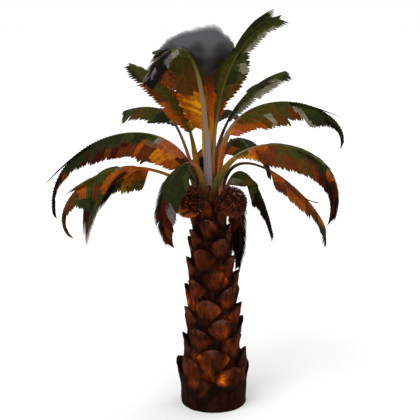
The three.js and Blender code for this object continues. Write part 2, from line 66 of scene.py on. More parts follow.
# How far the core lies inside its profile, and how deep its fibres and lumps are
CORE_INSET = 0.012
CORE_FIBRE = 0.008
CORE_LUMPS = 0.012

# Old leaf bases, set on the trunk in one spiral of golden-angle steps
GOLDEN_ANGLE = 137.508
# How many there are, from which height to which, the first one's heading, their length and
# how far their tips lift at the bottom and at the top, their half width in radii of the
# trunk, and how deep they are sunk
Bases = namedtuple("Bases", "count low high start length lift half sink")
STUBS = Bases(47, 0.33, 3.01, 250, (0.43, 0.33), (0.088, 0.062), 0.616, 0.07)
SHEATHS = Bases(13, 3.0, 3.34, 118, (0.42, 0.3), (0.05, 0.035), 0.56, 0.05)
LIFT_ROUND = (0.8, 1, 1.2, 0.9, 1.1)
# Along a leaf base, in shares of its length: pointed foot, broadest place, shoulder and tip
BASE_FOOT = -0.55
BASE_TIP = 0.5
BASE_SHOULDER = 0.36
BASE_BROADEST = 0.02
BASE_ROWS = 28
BASE_COLUMNS = 19
# How far its foot lies under the core's face, how far it leans aside, in half widths, and how
# ragged its tip is, in lengths
BASE_UNDER = -0.012
BASE_LEAN = 0.16
BASE_RAGGED = 0.04
# The trunk's foot is charred black up to the first height, less and less up to the second
CHARRED_FOOT = (0.3, 0.75)

# Embers on the trunk: where each glows, how far it reaches and how hot it is
EMBERS = (
    ((0.12, -0.37, 2.08), 0.21, 0.55), ((0.2, -0.33, 2.0), 0.12, 0.75),
    ((-0.39, -0.2, 1.66), 0.2, 1.0), ((0.21, -0.4, 1.19), 0.16, 0.85),
    ((0.2, -0.38, 1.61), 0.11, 0.6), ((0.24, -0.37, 1.4), 0.16, 0.6),
    ((0.38, -0.28, 0.96), 0.15, 0.85), ((0.16, -0.53, 0.54), 0.15, 1.1),
    ((-0.26, -0.5, 0.43), 0.2, 0.75), ((-0.43, -0.34, 0.57), 0.15, 0.6),
    ((-0.14, -0.49, 0.77), 0.25, 0.45), ((0.03, -0.54, 0.62), 0.18, 0.5),
    ((0.53, -0.15, 0.5), 0.15, 0.45), ((-0.2, -0.42, 1.06), 0.12, 0.4),
    ((-0.35, -0.34, 0.85), 0.12, 0.35), ((0.45, 0.2, 0.7), 0.2, 0.7),
    ((0.2, 0.5, 0.5), 0.2, 0.8), ((-0.35, 0.35, 0.7), 0.19, 0.7),
    ((-0.1, 0.42, 1.3), 0.19, 0.6), ((0.33, 0.22, 1.75), 0.18, 0.7),
    ((-0.28, 0.28, 1.95), 0.16, 0.6), ((0.05, 0.33, 2.4), 0.15, 0.5),
    ((-0.42, 0.12, 1.2), 0.16, 0.6), ((0.28, 0.1, 2.3), 0.12, 0.4),
)

# Fruit bunches: ovoids of pointed fruitlets on short stalks
Bunch = namedtuple("Bunch", "name heading reach height tilt looks")
BUNCH_WIDTH = 0.4
BUNCH_LENGTH = 0.44
FRUITLETS = 330
FRUITLET_SIZE = (0.019, 0.024)
FRUITLET_SIDES = 7
# A fruitlet's radius along its axis, both in shares of its size
FRUITLET_PROFILE = ((-0.6, 0.8), (0.2, 1.0), (0.9, 0.85), (1.4, 0.45), (1.7, 0.16), (2.3, 0.03))
HEART_SIZE = 0.445
STALK_RADIUS = 0.046
BRACTS = 16
# Where the looks of a bunch's top and of its underside start, in half lengths from its middle
UPPER_FROM = 0.85
LOWER_FROM = -0.35
BUNCHES = (
    Bunch("fruit_bunch_left", 228, 0.425, 3.195, 60, ("husk red", "husk dark", "husk ember")),
    Bunch("fruit_bunch_right", -36, 0.435, 3.190, 70, ("ash", "husk dark", "husk red")),
    Bunch("fruit_bunch_back", 90, 0.430, 3.060, 62, ("husk dark", "husk red", "husk ember")),
)

# Fronds. seat, launch, arrive and tip lay out the midrib, left and right are each side's
# longest leaflet and how far it hangs, outline is where that length comes and goes, roll
# turns the blade about the midrib, and streamers are its long torn strips: where each starts,
# its tip and its width. The last three are the looks of the left side, the right side and the
# midrib, in stops: the percent of the length, then a side's look near the midrib and at its
# edge, or one look for both.
Frond = namedtuple(
    "Frond",
    "name heading seat launch arrive tip blade stalk left right outline roll streamers "
    "left_looks right_looks rib_looks",
)


def stops_of(line):
    """Stops along a blade or midrib from a line of them: each one's percent and its looks."""
    stops = [stop.split() for stop in line.split(", ")]
    return [(float(percent) / 100, *looks) for percent, *looks in stops]


# Near the heart, the gold, amber, blaze, orange and salmon looks of the leaflets and midribs are
# partly scorch and partly the fire's light painted in; pale is partly a painted sheen.
FRONDS = [Frond(*row[:13], *map(stops_of, row[13:])) for row in (
    ("upright_right", -20, (322, 0.105, 3.402), (95, 0.66), (17, 1.006), (1.077, 5.834),
     0.2, 1.2, (0.35, 10), (0.25, 0), (0.48, 0.5, 0.66, 0.62), -62,
     ((0.72, (0.98, 5.97, 0.06), 0.21),),
     "0 gold orange, 10 bronze orange, 28 olive bronze, 40 deep olive, 50 green pale, "
     "58 deep green, 66 green pale, 90 green",
     "0 orange, 10 orange rust, 22 bronze orange, 34 olive deep, 48 green deep, 66 deep green, "
     "90 green deep",
     "0 gold, 12 amber, 25 beige, 50 olive, 100 deep"),
    ("folded_left", 225, (264, 0.105, 3.4), (90, 3.213), (-75, 0.1), (1.189, 4.957),
     0.1, 1.7, (0.3, 12), (0.62, 16), (0.06, 0.6, 1, 0.6), 0, (),
     "0 gold orange, 5 bronze orange, 12 olive deep, 30 fresh green, 42 green pale, 50 char ash, "
     "60 char, 74 ash char, 84 char",
     "0 amber orange, 2 blaze amber, 5.5 amber orange, 8.5 bronze, 14 bronze olive, 19 olive, "
     "28 fresh olive, 36 green pale, 44 fresh char, 52 deep ash, 60 char deep, 70 char ash, "
     "82 ash char, 90 char",
     "0 mauve, 20 beige, 36 olive, 60 deep, 100 char"),
    ("upper_left", 168, (184, 0.105, 3.404), (71, 0.699), (30, 1.361), (1.227, 5.159),
     0.45, 2, (0.24, 6), (0.23, 6), (0.1, 0.1, 0.5, 1.1), -50, ((0.8, (1.19, 5.05, 0.04), 0.13),),
     "0 bronze orange, 30 olive orange, 50 olive rust, 66 green orange, 76 olive deep, "
     "88 green deep",
     "0 gold orange, 20 bronze orange, 42 olive orange, 60 olive rust, 74 green olive, "
     "88 green olive",
     "0 umber, 20 amber, 40 olive, 60 umber, 100 deep"),
    ("back_left", 138, (128, 0.165, 3.3), (55, 0.829), (-17, 1.402), (1.848, 4.343),
     0.5, 1, (0.2, 62), (0.24, 5), (0.25, 0, 0.5, 1.6), 0, (),
     "0 pale deep, 12 deep, 34 olive green, 55 olive bronze, 75 green olive, 90 green deep",
     "0 pale, 25 pale green, 40 deep, 60 green deep",
     "0 umber, 15 orange, 30 beige, 50 olive, 100 deep"),
    ("long_left", 188, (170, 0.165, 3.29), (83, 1.551), (-101, 1.203), (2.279, 2.981),
     0.11, 1.7, (0.49, 58), (0.33, 30), (0.1, 0.32, 0.92, 0.24), 0,
     ((0.61, (2.43, 3.42, -0.04), 0.12),),
     "0 umber orange, 4 salmon amber, 14 salmon rust, 19 pale rust, 24 green orange, "
     "27 deep rust, 34 green maroon, 40 deep bronze, 48 deep maroon, 56 deep, 70 deep rust, "
     "76 char maroon, 88 char",
     "0 orange, 15 rust orange, 30 green deep, 60 deep rust, 80 char maroon",
     "0 umber, 12 umber, 22 salmon, 35 olive, 70 deep, 90 char"),
    ("low_left", 208, (206, 0.165, 3.29), (40, 1.668), (-134, 0.668), (2.185, 2.852),
     0.22, 1, (0.49, 46), (0.26, 25), (0.05, 0.3, 0.75, 0.2), 0,
     ((0.26, (1.94, 3.12, 0.26), 0.6), (0.34, (2.04, 2.72, 0.23), 0.66),
      (0.5, (2.21, 3.44, -0.06), 0.14)),
     "0 orange olive, 6 salmon bronze, 11 orange gold, 16 pale olive, 21 olive rust, "
     "27 green rust, 34 olive deep, 40 orange deep, 48 rust green, 58 bronze rust, "
     "70 deep maroon, 84 rust char, 93 char rust",
     "0 olive orange, 10 olive orange, 30 green olive, 50 rust maroon, 70 green bronze, "
     "85 deep rust",
     "0 umber, 15 gold, 25 orange, 40 olive, 80 umber, 100 char"),
    ("front_left", 240, (240, 0.165, 3.27), (91, 1.109), (-130, 1.102), (1.134, 2.726),
     0.3, 1, (0.33, 40), (0.22, 24), (0.3, 0.6, 1, 0.5), 0, ((0.4, (0.56, 3.48, 0.23), 0.12),),
     "0 salmon pale, 7 deep green, 30 deep, 52 deep ash, 60 maroon ash, 66 maroon, 76 char rust, "
     "88 char maroon",
     "0 green pale, 12 deep green, 30 deep, 55 char deep, 70 char maroon, 85 maroon rust",
     "0 umber, 15 gold, 28 salmon, 40 green, 70 deep, 100 char"),
    ("drooping_right", 4, (358, 0.226, 3.12), (84, 0.76), (-78, 1.192), (0.98, 2.572),
     0.16, 1.2, (0.18, 14), (0.4, 50), (0.12, 0.4, 1, 0.3), 0, (),
     "0 olive rust, 30 green deep, 60 deep char",
     "0 pale olive, 12 green olive, 30 olive green, 48 green deep, 58 deep char, 70 char",
     "0 umber, 15 salmon, 30 olive, 60 deep, 100 char"),
    ("hanging_back", 58, (60, 0.226, 3.12), (67, 0.554), (-103, 1.223), (0.878, 1.902),
     0.34, 1, (0.24, 30), (0.33, 30), (0.2, 0.7, 1, 0.4), 0, (),
     "0 green deep, 22 orange olive, 40 amber green, 52 rust maroon, 68 char",
     "0 green deep, 10 green orange, 25 amber fresh, 36 fresh orange, 48 orange deep, "
     "64 maroon char, 80 char",
     "0 umber, 30 olive, 60 deep, 100 char"),
    ("long_right", -26, (302, 0.165, 3.28), (81, 1.246), (-109, 1.223), (1.947, 3.041),
     0.22, 2.3, (0.23, -4), (0.41, 58), (0.25, 0.3, 1, 0.42), 0, ((0.55, (1.9, 3.74, 0.07), 0.16),),
     "0 olive green, 30 green, 50 fresh olive, 68 deep orange, 82 char maroon",
     "0 olive gold, 7 olive amber, 11 salmon orange, 15 orange rust, 24 rust bronze, "
     "30 olive rust, 37 green bronze, 44 umber olive, 50 deep rust, 60 deep maroon, "
     "69 orange char, 75 maroon char, 88 char maroon",
     "0 umber, 8 olive, 18 gold, 26 beige, 45 olive, 80 umber, 100 char"),
    ("high_right", 6, (350, 0.165, 3.3), (97, 1.9), (-99, 0.716), (2.015, 3.979),
     0.2, 2.6, (0.28, 14), (0.43, 60), (0.16, 0.4, 0.85, 0.34), 0,
     ((0.55, (2.06, 4.33, 0.06), 0.15),),
     "0 olive deep, 30 green deep, 50 deep, 85 char",
     "0 amber salmon, 4 orange, 8 bronze orange, 11 olive bronze, 17 olive pale, "
     "22 olive bronze, 30 olive, 36 green olive, 41 green rust, 47 deep pale, 51 green deep, "
     "63 deep char, 72 deep char, 86 char maroon",
     "0 salmon, 12 orange, 22 beige, 35 umber, 50 olive, 80 deep, 100 char"),
    ("upper_right", 48, (42, 0.105, 3.4), (92, 0.638), (5, 1.262), (1.856, 4.978),
     0.44, 1.6, (0.12, 30), (0.23, 34), (0.3, 0.1, 0.8, 1.3), 0,
     ((0.7, (1.78, 4.84, -0.06), 0.17),),
     "0 deep, 50 green deep, 85 green deep",
     "0 deep pale, 25 green pale, 55 deep pale, 80 green deep",
     "0 umber, 20 salmon, 40 deep, 70 deep, 100 deep"),
    ("upper_back", 75, (108, 0.105, 3.4), (83, 0.354), (-28, 1.774), (1.997, 4.099),
     0.55, 1, (0.19, 20), (0.19, 20), (0.3, 0.6, 1, 0.4), 0, (),
     "0 deep, 50 green deep, 85 deep char",
     "0 deep, 40 deep green, 85 deep char",
     "0 umber, 25 orange, 50 olive, 100 deep"),
    ("torn_right", 28, (40, 0.165, 3.29), (92, 0.79), (-71, 0.939), (1.081, 3.489),
     0.3, 1, (0.27, 0), (0.33, 50), (0.15, 0.8, 1, 0.7), 0, (),
     "0 green deep, 30 green maroon, 60 deep char",
     "0 salmon green, 12 green, 28 pale deep, 36 green deep, 60 deep char, 78 char",
     "0 umber, 15 olive, 30 rust, 60 maroon, 100 char"),
    ("burned_right", 14, (26, 0.226, 3.12), (91, 1.558), (-160, 0.437), (1.806, 2.483),
     0.43, 1, (0.07, 20), (0.33, 40), (0, 0.5, 1, 0.7), 0, ((0.62, (1.8, 3.02, 0.06), 0.12),),
     "0 rust, 30 olive green, 70 green olive",
     "0 orange rust, 15 rust orange, 35 orange rust, 46 rust deep, 56 orange deep, "
     "68 umber deep, 85 deep",
     "0 umber, 15 umber, 30 rust, 50 umber, 75 olive, 100 deep"),
    ("back", 96, (84, 0.165, 3.28), (76, 0.9), (-95, 0.9), (1.9, 2.9),
     0.3, 1, (0.36, 46), (0.36, 46), (0.25, 0.5, 0.9, 0.4), 0, (),
     "0 orange olive, 15 green rust, 35 green deep, 60 deep rust, 80 char",
     "0 amber orange, 15 olive rust, 35 green deep, 65 rust deep, 82 char",
     "0 umber, 20 orange, 40 olive, 80 deep, 100 char"),
    ("low_back_left", 128, (124, 0.226, 3.12), (82, 0.95), (-97, 0.762), (1.099, 2.575),
     0.4, 1, (0.23, 30), (0.23, 30), (0.25, 0.5, 0.9, 0.4), 0, (),
     "0 green olive, 30 olive orange, 55 deep maroon, 75 char",
     "0 green deep, 30 deep rust, 60 maroon char, 80 char",
     "0 umber, 30 olive, 70 deep, 100 char"),
    ("mid_back_left", 156, (150, 0.226, 3.12), (88, 1.2), (-39, 0.401), (1.931, 3.756),
     0.3, 1, (0.24, 20), (0.22, 20), (0.25, 0.6, 1, 0.5), 0, (),
     "0 rust orange, 20 olive rust, 40 green deep, 75 deep char",
     "0 rust, 20 olive orange, 40 deep green, 75 deep char",
     "0 umber, 20 orange, 40 olive, 80 deep, 100 char"),
)]

# Where fire burned leaflets back or spared them: for a frond's side (1 left, -1 right), what
# is left of their length at each of these shares of the blade
BURNED_BACK = {
    ("folded_left", 1): (
        (0, 0.3), (0.08, 0.5), (0.2, 0.65), (0.32, 0.45), (0.42, 0.8), (0.85, 1), (1, 0.4),
    ),
    ("folded_left", -1): (
        (0, 0.6), (0.1, 0.85), (0.2, 1), (0.3, 1), (0.42, 0.7), (0.8, 0.5), (1, 0.25),
    ),
    ("upper_left", 1): ((0, 0.3), (0.2, 1)),
    ("long_left", 1): ((0, 1), (0.2, 1), (0.35, 0.88), (0.6, 0.84), (1, 0.9)),
    ("low_left", 1): (
        (0, 0.8), (0.15, 0.85), (0.3, 1), (0.42, 0.9), (0.54, 0.7), (0.68, 1.1), (1, 0.9),
    ),
    ("burned_right", -1): ((0, 1), (0.8, 1), (1, 0.35)),
}

# Midrib and stalk: half width and depth by the share of the length
RIB_WIDTH = ((0, 0.048, 0.058), (0.1, 0.038, 0.048), (0.3, 0.026, 0.036), (0.7, 0.015, 0.020),
             (1, 0.005, 0.008))
# Its section in half widths and depths: a shallow channel above, a keel below
RIB_SECTION = ((1, 0.06), (0.93, 0.3), (0.5, 0.36), (0, 0.26), (-0.5, 0.36), (-0.93, 0.3),
               (-1, 0.06), (-0.75, -0.24), (-0.36, -0.56), (0, -0.7), (0.36, -0.56), (0.75, -0.24))
RIB_RINGS = 56
RIB_STEPS = 400
# How deep a stalk is rooted, and how much broader its foot is, up to which share
RIB_ROOT = 0.07
RIB_FLARE = 0.9
FLARE_UNTIL = 0.13
RIB_KNOTS = 0.05
RIB_COLOUR_DRIFT = 0.04
# Stalks seated nearer the axis than this start slimmer, to share the heart's narrow top
INNER_SEAT = 0.15
INNER_SLIM = 0.75
INNER_UNTIL = 0.25
# A stout stalk is stoutest at this share and back to normal this far from it, and its depth
# gains this much of what its width does
STOUTEST = 0.12
STOUT_WITHIN = 0.3
STOUT_DEPTH = 0.6
# Where a blade's roll starts and is full
ROLL_FROM = 0.04
ROLL_TO = 0.3
SEAT_SWING = 0.55
SPINE_FIRST = 2
SPINE_PITCH = 0.03
SPINE_LENGTH = 0.034

# Leaflets: they end at this share of the midrib, and reach full length over the shoulder
BLADE_END = 0.985
LEAFLET_SHOULDER = 0.35
LEAFLET_SAG = 0.18
# Their angle to the midrib, at the start and at the end of the blade
LEAFLET_ANGLES = (66, 30)
# Neighbours that have stayed together tear as one bundle: how many there are in it, the share
# of its length that a torn one keeps, and how narrow its last leaflet is beside the tear
Bundle = namedtuple("Bundle", "length angle fold shift")
BUNDLE_OF = (3, 7)
TORN_LENGTH = (0.7, 0.9)
LAST_OF_BUNDLE = 0.8
# A leaflet is burned back to this distance from other fronds' solids
LEAFLET_CLEARANCE = 0.014
# A leaflet's root: in half widths out from the midrib's middle, in depths above it
ROOT_OUT = 0.45
ROOT_UP = 0.12
# Along a leaflet: its half width, as a share of the widest
LEAFLET_WIDTH = (
    (0, 0.9), (0.12, 1), (0.28, 1), (0.45, 1), (0.6, 1), (0.75, 0.95), (0.87, 0.74),
    (0.95, 0.44), (1, 0.08),
)
# A short leaflet runs to a point over more of its length
SHORT_LEAFLET = 0.12
LONG_LEAFLET = 0.4
WIDEST = 3
LEAFLET_RIDGE = 0.24
LEAFLET_THICKNESS = 0.003
LEAFLET_TILT = 7
SHORTEST_LEAFLET = 0.03
NARROWEST_LEAFLET = 0.0015
STREAMER_BEND = 0.4
STREAMER_STEPS = 10
STRAND_PITCH = 0.05
STRAND_OVERLAP = 1.5

# Smoke: how high each ring of its outline is, how far aside it lies and how wide it is
SMOKE_OUTLINE = (
    (3.52, -0.07, 0.04), (3.72, -0.08, 0.06), (3.92, -0.09, 0.08), (4.17, -0.09, 0.1),
    (4.35, -0.09, 0.11), (4.6, -0.1, 0.15), (4.72, -0.2, 0.28), (4.85, -0.31, 0.45),
    (5.0, -0.33, 0.55), (5.15, -0.3, 0.6), (5.28, -0.27, 0.63), (5.42, -0.22, 0.55),
    (5.54, -0.15, 0.4), (5.62, -0.1, 0.24), (5.67, -0.06, 0.07),
)
# It leans back from one height up, and its shells part above another
SMOKE_BACK = 0.26
SMOKE_LEANS_FROM = 3.5
SMOKE_PARTS_FROM = 5.0
SMOKE_BILLOW = 0.16
# Heights where the flame's light has faded out and where it is full
SMOKE_LIT = (5.0, 4.4)
SMOKE_AROUND = 72
SMOKE_UP = 90
# The dense core and the thin veils round it: size, how much each covers, and its foot
SMOKE_SHELLS = (
    ("smoke_core", 0.91, 1, 3.52), ("smoke_veil_1", 0.94, 0.5, 4.4),
    ("smoke_veil_2", 0.97, 0.36, 4.4), ("smoke_veil_3", 1, 0.22, 4.4),
)
# Its colour by height: amber and then red, where the flame's light is painted on it from below,
# soot, and grey above
SMOKE_COLOURS = (
    (3.9, "9a7004"), (4.15, "ac7404"), (4.4, "a05c06"), (4.65, "a04a14"), (4.85, "8c4220"),
    (5.0, "6a3c22"), (5.12, "352c29"), (5.28, "3e3d3d"), (5.42, "4e4e50"),
)

# The photo's view: 85 mm lens on a 36 mm sensor, looking down by 12 degrees
CAMERA_PLACE = (-0.054, -14.457, 6.091)
CAMERA_PITCH = 78
CAMERA_LENS = 85

# Soft lights from far off: where each comes from and how strong it is
STUDIO_LIGHTS = (("key", (-0.6, -0.7, 1.0), 1.5), ("rim", (0.7, 0.6, 0.9), 0.6))
LIGHT_SOFTNESS = 40
FLOOR_UNDER = 0.001

# Finishes of leaves, ribs and fruit: sRGB colour and how much it glows
# Gold, amber, blaze, orange and salmon are partly scorch and partly the light of the fire in the
# crown's heart, painted in; their glow is painted firelight. Pale is partly a leaf's paler
# underside and partly a painted sheen.
LEAF_FINISHES = {
    "deep": ("1d2009", 0), "green": ("2c310c", 0), "fresh": ("3d4715", 0),
    "olive": ("383108", 0), "bronze": ("4a2c06", 0), "gold": ("7a5505", 0.04),
    "amber": ("a05c04", 0.1), "blaze": ("c08004", 0.15), "orange": ("7f3a04", 0.05),
    "rust": ("4e2005", 0), "maroon": ("340d04", 0), "char": ("110b08", 0),
    "ash": ("524b4d", 0), "pale": ("6a6651", 0), "salmon": ("8c4726", 0.03),
    "umber": ("341b08", 0),
}
# Gold, amber, orange and salmon near the heart are partly singeing and partly the fire's light
# painted in.
RIB_COLOURS = {
    "mauve": "766769", "umber": "3c200c", "olive": "4a4412", "beige": "7f6a48",
    "gold": "7a5a10", "amber": "9a5e0a", "orange": "9a4a0e", "rust": "5a2408",
    "salmon": "a85c38", "green": "333c12", "deep": "24260e", "maroon": "341006",
    "char": "120c09",
}
# The fruit's ash is partly ash and partly a painted sheen.
FRUIT_FINISHES = {
    "husk dark": ("200903", 0), "husk red": ("4e1c06", 0), "husk ember": ("844006", 0.1),
    "ash": ("6a5257", 0), "bract": ("2c1409", 0), "heart": ("6a2a04", 0.25),
}
EMBER_COLOURS = (
    (0, "000000"), (0.25, "160501"), (0.5, "521a03"), (0.75, "8e4205"), (1, "c87408"),
)

# Pattern sizes in millimetres. Leaf veins, petiole streaks and bark fibres are really 1 to
# 2 mm apart and a fruitlet's wrinkles 2 to 3 mm. They are drawn this far apart, since finer
# ones wouldn't show at the distance that the whole palm is seen from. Blotches and patches
# have their real size.
VEIN_MM = 7
BLOTCH_MM = 60
STREAK_MM = 6.25
FIBRE_MM = 14.2857
PATCH_MM = 111.111
WRINKLE_MM = 11.1111

# Rows of nodes that several materials start from: key, kind, settings, values and links
GRAIN, TINT, EMBER = (
    (name, "Attribute", {"attribute_name": name}, {}, {}) for name in ("grain", "tint", "ember")
)
PLACE = ("place", "TexCoord", {}, {}, {})


def linear(code):
    """A colour's linear red, green, blue and alpha from its sRGB hex value."""
    parts = [int(code[i:i + 2], 16) / 255 for i in (0, 2, 4)]
    return tuple(c / 12.92 if c <= 0.04045 else ((c + 0.055) / 1.055) ** 2.4 for c in parts) + (1,)


def lerp(a, b, share):
    return a + (b - a) * share


def smoothstep(value, low, high):
    share = min(1, max(0, (value - low) / (high - low)))
    return share * share * (3 - 2 * share)


def between(rows, position, column=1):
    """The value of one column at a position in rows that are sorted by their first."""
    if position <= rows[0][0]:
        return rows[0][column]
    for low, high in zip(rows, rows[1:]):
        if position <= high[0]:
            return lerp(low[column], high[column], (position - low[0]) / (high[0] - low[0]))
    return rows[-1][column]


def compass(degrees):
    return Vector((math.cos(math.radians(degrees)), math.sin(math.radians(degrees)), 0))


def axis_at(height):
    """The middle of the leaning trunk at a height."""
    return Vector((LEAN * max(0, height / TRUNK_TOP) ** 2, 0, height))


def mix_colours(a, b, share):
    return tuple(lerp(x, y, share) for x, y in zip(a, b))


class Gather:
    """Gathers the points and faces of many small forms into one mesh."""

    def __init__(self):
        self.points = []
        self.faces = []
        self.looks = []
        self.values = {}

    def add(self, points, faces, looks="", **values):
        """looks is one name or one for each face, and values has one for each point."""
        first = len(self.points)
        self.points.extend(points)
        self.faces.extend([tuple(first + i for i in face) for face in faces])
        self.looks.extend(looks if isinstance(looks, list) else [looks] * len(faces))
        for name, numbers in values.items():
            self.values.setdefault(name, []).extend(numbers)

    def piece(self, name, material_for, smooth_under=None):
        """The mesh as an object, with a material for each look that its faces have.
        Edges sharper than smooth_under degrees stay sharp."""
        mesh = bpy.data.meshes.new(name)
        mesh.from_pydata([tuple(point) for point in self.points], [], self.faces)
        used = sorted(set(self.looks))
        for look in used:
            mesh.materials.append(material_for(look))
        slots = {look: index for index, look in enumerate(used)}
        mesh.polygons.foreach_set("material_index", [slots[look] for look in self.looks])
        for label, numbers in self.values.items():
            if not isinstance(numbers[0], tuple):
                kind, field, flat = "FLOAT", "value", numbers
            else:
                colour = len(numbers[0]) == 4
                kind, field = ("FLOAT_COLOR", "color") if colour else ("FLOAT_VECTOR", "vector")
                flat = [value for row in numbers for value in row]
            mesh.attributes.new(label, kind, "POINT").data.foreach_set(field, flat)
        if smooth_under:
            mesh.polygons.foreach_set("use_smooth", [True] * len(mesh.polygons))
            mesh.set_sharp_from_angle(angle=math.radians(smooth_under))
        mesh.update()
        made = bpy.data.objects.new(name, mesh)
        bpy.context.scene.collection.objects.link(made)
        return made


def grid_faces(rows, columns, closed=False):
    """Faces of a grid of points in rows; closed joins each row's end to its start."""
    faces = []
    for row in range(rows - 1):
        for column in range(columns if closed else columns - 1):
            following = (column + 1) % columns
            low, high = row * columns, (row + 1) * columns
            faces.append((low + column, low + following, high + following, high + column))
    return faces


def tube_faces(rows, columns):
    """A grid closed round its rows, with a face at each end."""
    last = (rows - 1) * columns
    ends = [tuple(reversed(range(columns))), tuple(range(last, last + columns))]
    return grid_faces(rows, columns, closed=True) + ends


def add_node(tree, kind, settings=None, values=None, links=None):
    """Adds a node with its settings, its sockets' values and the links into its sockets."""
    made = tree.nodes.new(kind)
    for key, value in (settings or {}).items():
        setattr(made, key, value)
    for socket, value in (values or {}).items():
        made.inputs[socket].default_value = value
    for socket, source in (links or {}).items():
        tree.links.new(source, made.inputs[socket])
    return made


def make_material(name, rows, values, links, glow=0):
    """The material of that name, made once. Each row is a node: its key, its kind, settings,
    its sockets' values, and its links, each to an earlier row's output. The last values and
    links are the shader's own, and what glows does so in its base colour."""
    made = bpy.data.materials.get(name)
    if made:
        return made
    made = bpy.data.materials.new(name)
    made.use_nodes = True
    made.node_tree.nodes.clear()
    if glow:
        values["Emission Strength"] = glow
        links["Emission Color"] = links["Base Color"]
    rows += (
        ("shader", "BsdfPrincipled", {}, values, links),
        ("output", "OutputMaterial", {}, {}, {"Surface": ("shader", 0)}),
    )
    outputs = {}
    for key, kind, settings, values, links in rows:
        sources = {socket: outputs[source][output] for socket, (source, output) in links.items()}
        node = add_node(made.node_tree, "ShaderNode" + kind, settings, values, sources)
        outputs[key] = node.outputs
    return made


def shades(colour, darker, lighter):
    """The two colours of a mix, darker and lighter than the one given."""
    dark = tuple(c * darker for c in colour[:3]) + (1,)
    return {6: dark, 7: tuple(min(1, c * lighter) for c in colour[:3]) + (1,)}


def leaf_material(look):
    """Palm leaf, grown: waxy and veined along the leaflet. Where fire caught it the cuticle is
    cooked to orange, char or ash, and the blotches show how unevenly it burned. Near the crown's
    heart the orange looks and their glow are partly the fire's light painted in, and pale is partly
    a painted sheen.
    A look is one finish, or a blend of two: first, share of the second, second."""
    ends = look.split(" ")
    share = float(ends[1]) if len(ends) > 1 else 0
    (first, first_glow), (second, second_glow) = (LEAF_FINISHES[end] for end in (ends[0], ends[-1]))
    colour = mix_colours(linear(first), linear(second), share)
    burned = ends[0] in ("char", "ash", "maroon")
    return make_material("Palm leaf, waxy, " + look, (
        GRAIN, PLACE,
        ("streaks", "Mapping", {}, {"Scale": (1000 / VEIN_MM, 9, 40)},
         {"Vector": ("grain", "Vector")}),
        ("veins", "TexNoise", {}, {"Scale": 1, "Detail": 2}, {"Vector": ("streaks", 0)}),
        ("blotches", "TexNoise", {}, {"Scale": 1000 / BLOTCH_MM, "Detail": 4, "Roughness": 0.6},
         {"Vector": ("place", "Object")}),
        ("both", "Math", {"operation": "MULTIPLY_ADD"}, {1: 0.55},
         {0: ("veins", 0), 2: ("blotches", 0)}),
        ("shade", "MapRange", {}, {1: 0.45, 2: 1.1, 3: 0, 4: 1}, {0: ("both", 0)}),
        ("colour", "Mix", {"data_type": "RGBA"}, shades(colour, 0.5, 1.5), {0: ("shade", 0)}),
        ("relief", "Bump", {}, {"Strength": 0.35, "Distance": 0.004}, {"Height": ("veins", 0)}),
    ), {
        "Roughness": 0.8 if burned else 0.55, "IOR": 1.45,
        "Specular IOR Level": 0.03 if burned else 0.05,
    }, {"Base Color": ("colour", 2), "Normal": ("relief", 0)}, lerp(first_glow, second_glow, share))


def petiole_material(look):
    """Palm petiole, grown and singed: hard fibrous skin, streaked along its length, which gives a
    dull gleam on the stalk's edges and fine lines down it. Its colour is the midrib's tint, whose
    gold, amber, orange and salmon near the crown's heart are partly singeing and partly the fire's
    light painted in."""
    return make_material("Palm petiole fibre, singed", (
        TINT, GRAIN,
        ("streaks", "Mapping", {}, {"Scale": (1000 / STREAK_MM, 5, 1)},
         {"Vector": ("grain", "Vector")}),
        ("fibre", "TexNoise", {}, {"Scale": 1, "Detail": 3}, {"Vector": ("streaks", 0)}),
        ("shade", "MapRange", {}, {1: 0.3, 2: 0.7, 3: 0.62, 4: 1.3}, {0: ("fibre", 0)}),
        ("colour", "VectorMath", {"operation": "SCALE"}, {},
         {0: ("tint", "Color"), "Scale": ("shade", 0)}),
        ("relief", "Bump", {}, {"Strength": 0.4, "Distance": 0.004}, {"Height": ("fibre", 0)}),
    ), {"Roughness": 0.52, "IOR": 1.45, "Specular IOR Level": 0.1},
        {"Base Color": ("colour", 0), "Normal": ("relief", 0)})


def bark_material(look):
    """Palm leaf bases, dried and charred: coarse brown fibre, black with char and painted shade in
    the crevices, a mauve sheen on the free edges that is partly ash and partly painted, and embers
    that still glow in a few of them, with their light painted onto the bark as orange."""
    made = make_material("Palm bark, charred leaf bases", (
        TINT, EMBER, PLACE,
        ("upright", "Mapping", {}, {"Scale": (1, 1, 0.28)}, {"Vector": ("place", "Object")}),
        ("fibre", "TexNoise", {}, {"Scale": 1000 / FIBRE_MM, "Detail": 5, "Roughness": 0.62},
         {"Vector": ("upright", 0)}),
        ("patches", "TexNoise", {}, {"Scale": 1000 / PATCH_MM, "Detail": 4},
         {"Vector": ("place", "Object")}),
        ("both", "Math", {"operation": "MULTIPLY_ADD"}, {1: 0.8},
         {0: ("fibre", 0), 2: ("patches", 0)}),
        ("shade", "MapRange", {}, {1: 0.6, 2: 1.2, 3: 0.45, 4: 1.5}, {0: ("both", 0)}),
        ("colour", "VectorMath", {"operation": "SCALE"}, {},
         {0: ("tint", "Color"), "Scale": ("shade", 0)}),
        ("uneven", "Math", {"operation": "MULTIPLY"}, {}, {0: ("ember", "Fac"), 1: ("shade", 0)}),
        ("glow", "ValToRGB", {"name": "glow"}, {}, {"Fac": ("uneven", 0)}),
        ("relief", "Bump", {}, {"Strength": 0.6, "Distance": 0.012}, {"Height": ("fibre", 0)}),
    ), {"Roughness": 0.85, "IOR": 1.45, "Specular IOR Level": 0.03, "Emission Strength": 1},
        {"Base Color": ("colour", 0), "Normal": ("relief", 0), "Emission Color": ("glow", 0)})
    stops = made.node_tree.nodes["glow"].color_ramp.elements
    while len(stops) < len(EMBER_COLOURS):
        stops.new(0.5)
    for stop, (position, code) in zip(stops, EMBER_COLOURS):
        stop.position = position
        stop.color = linear(code)
    return made


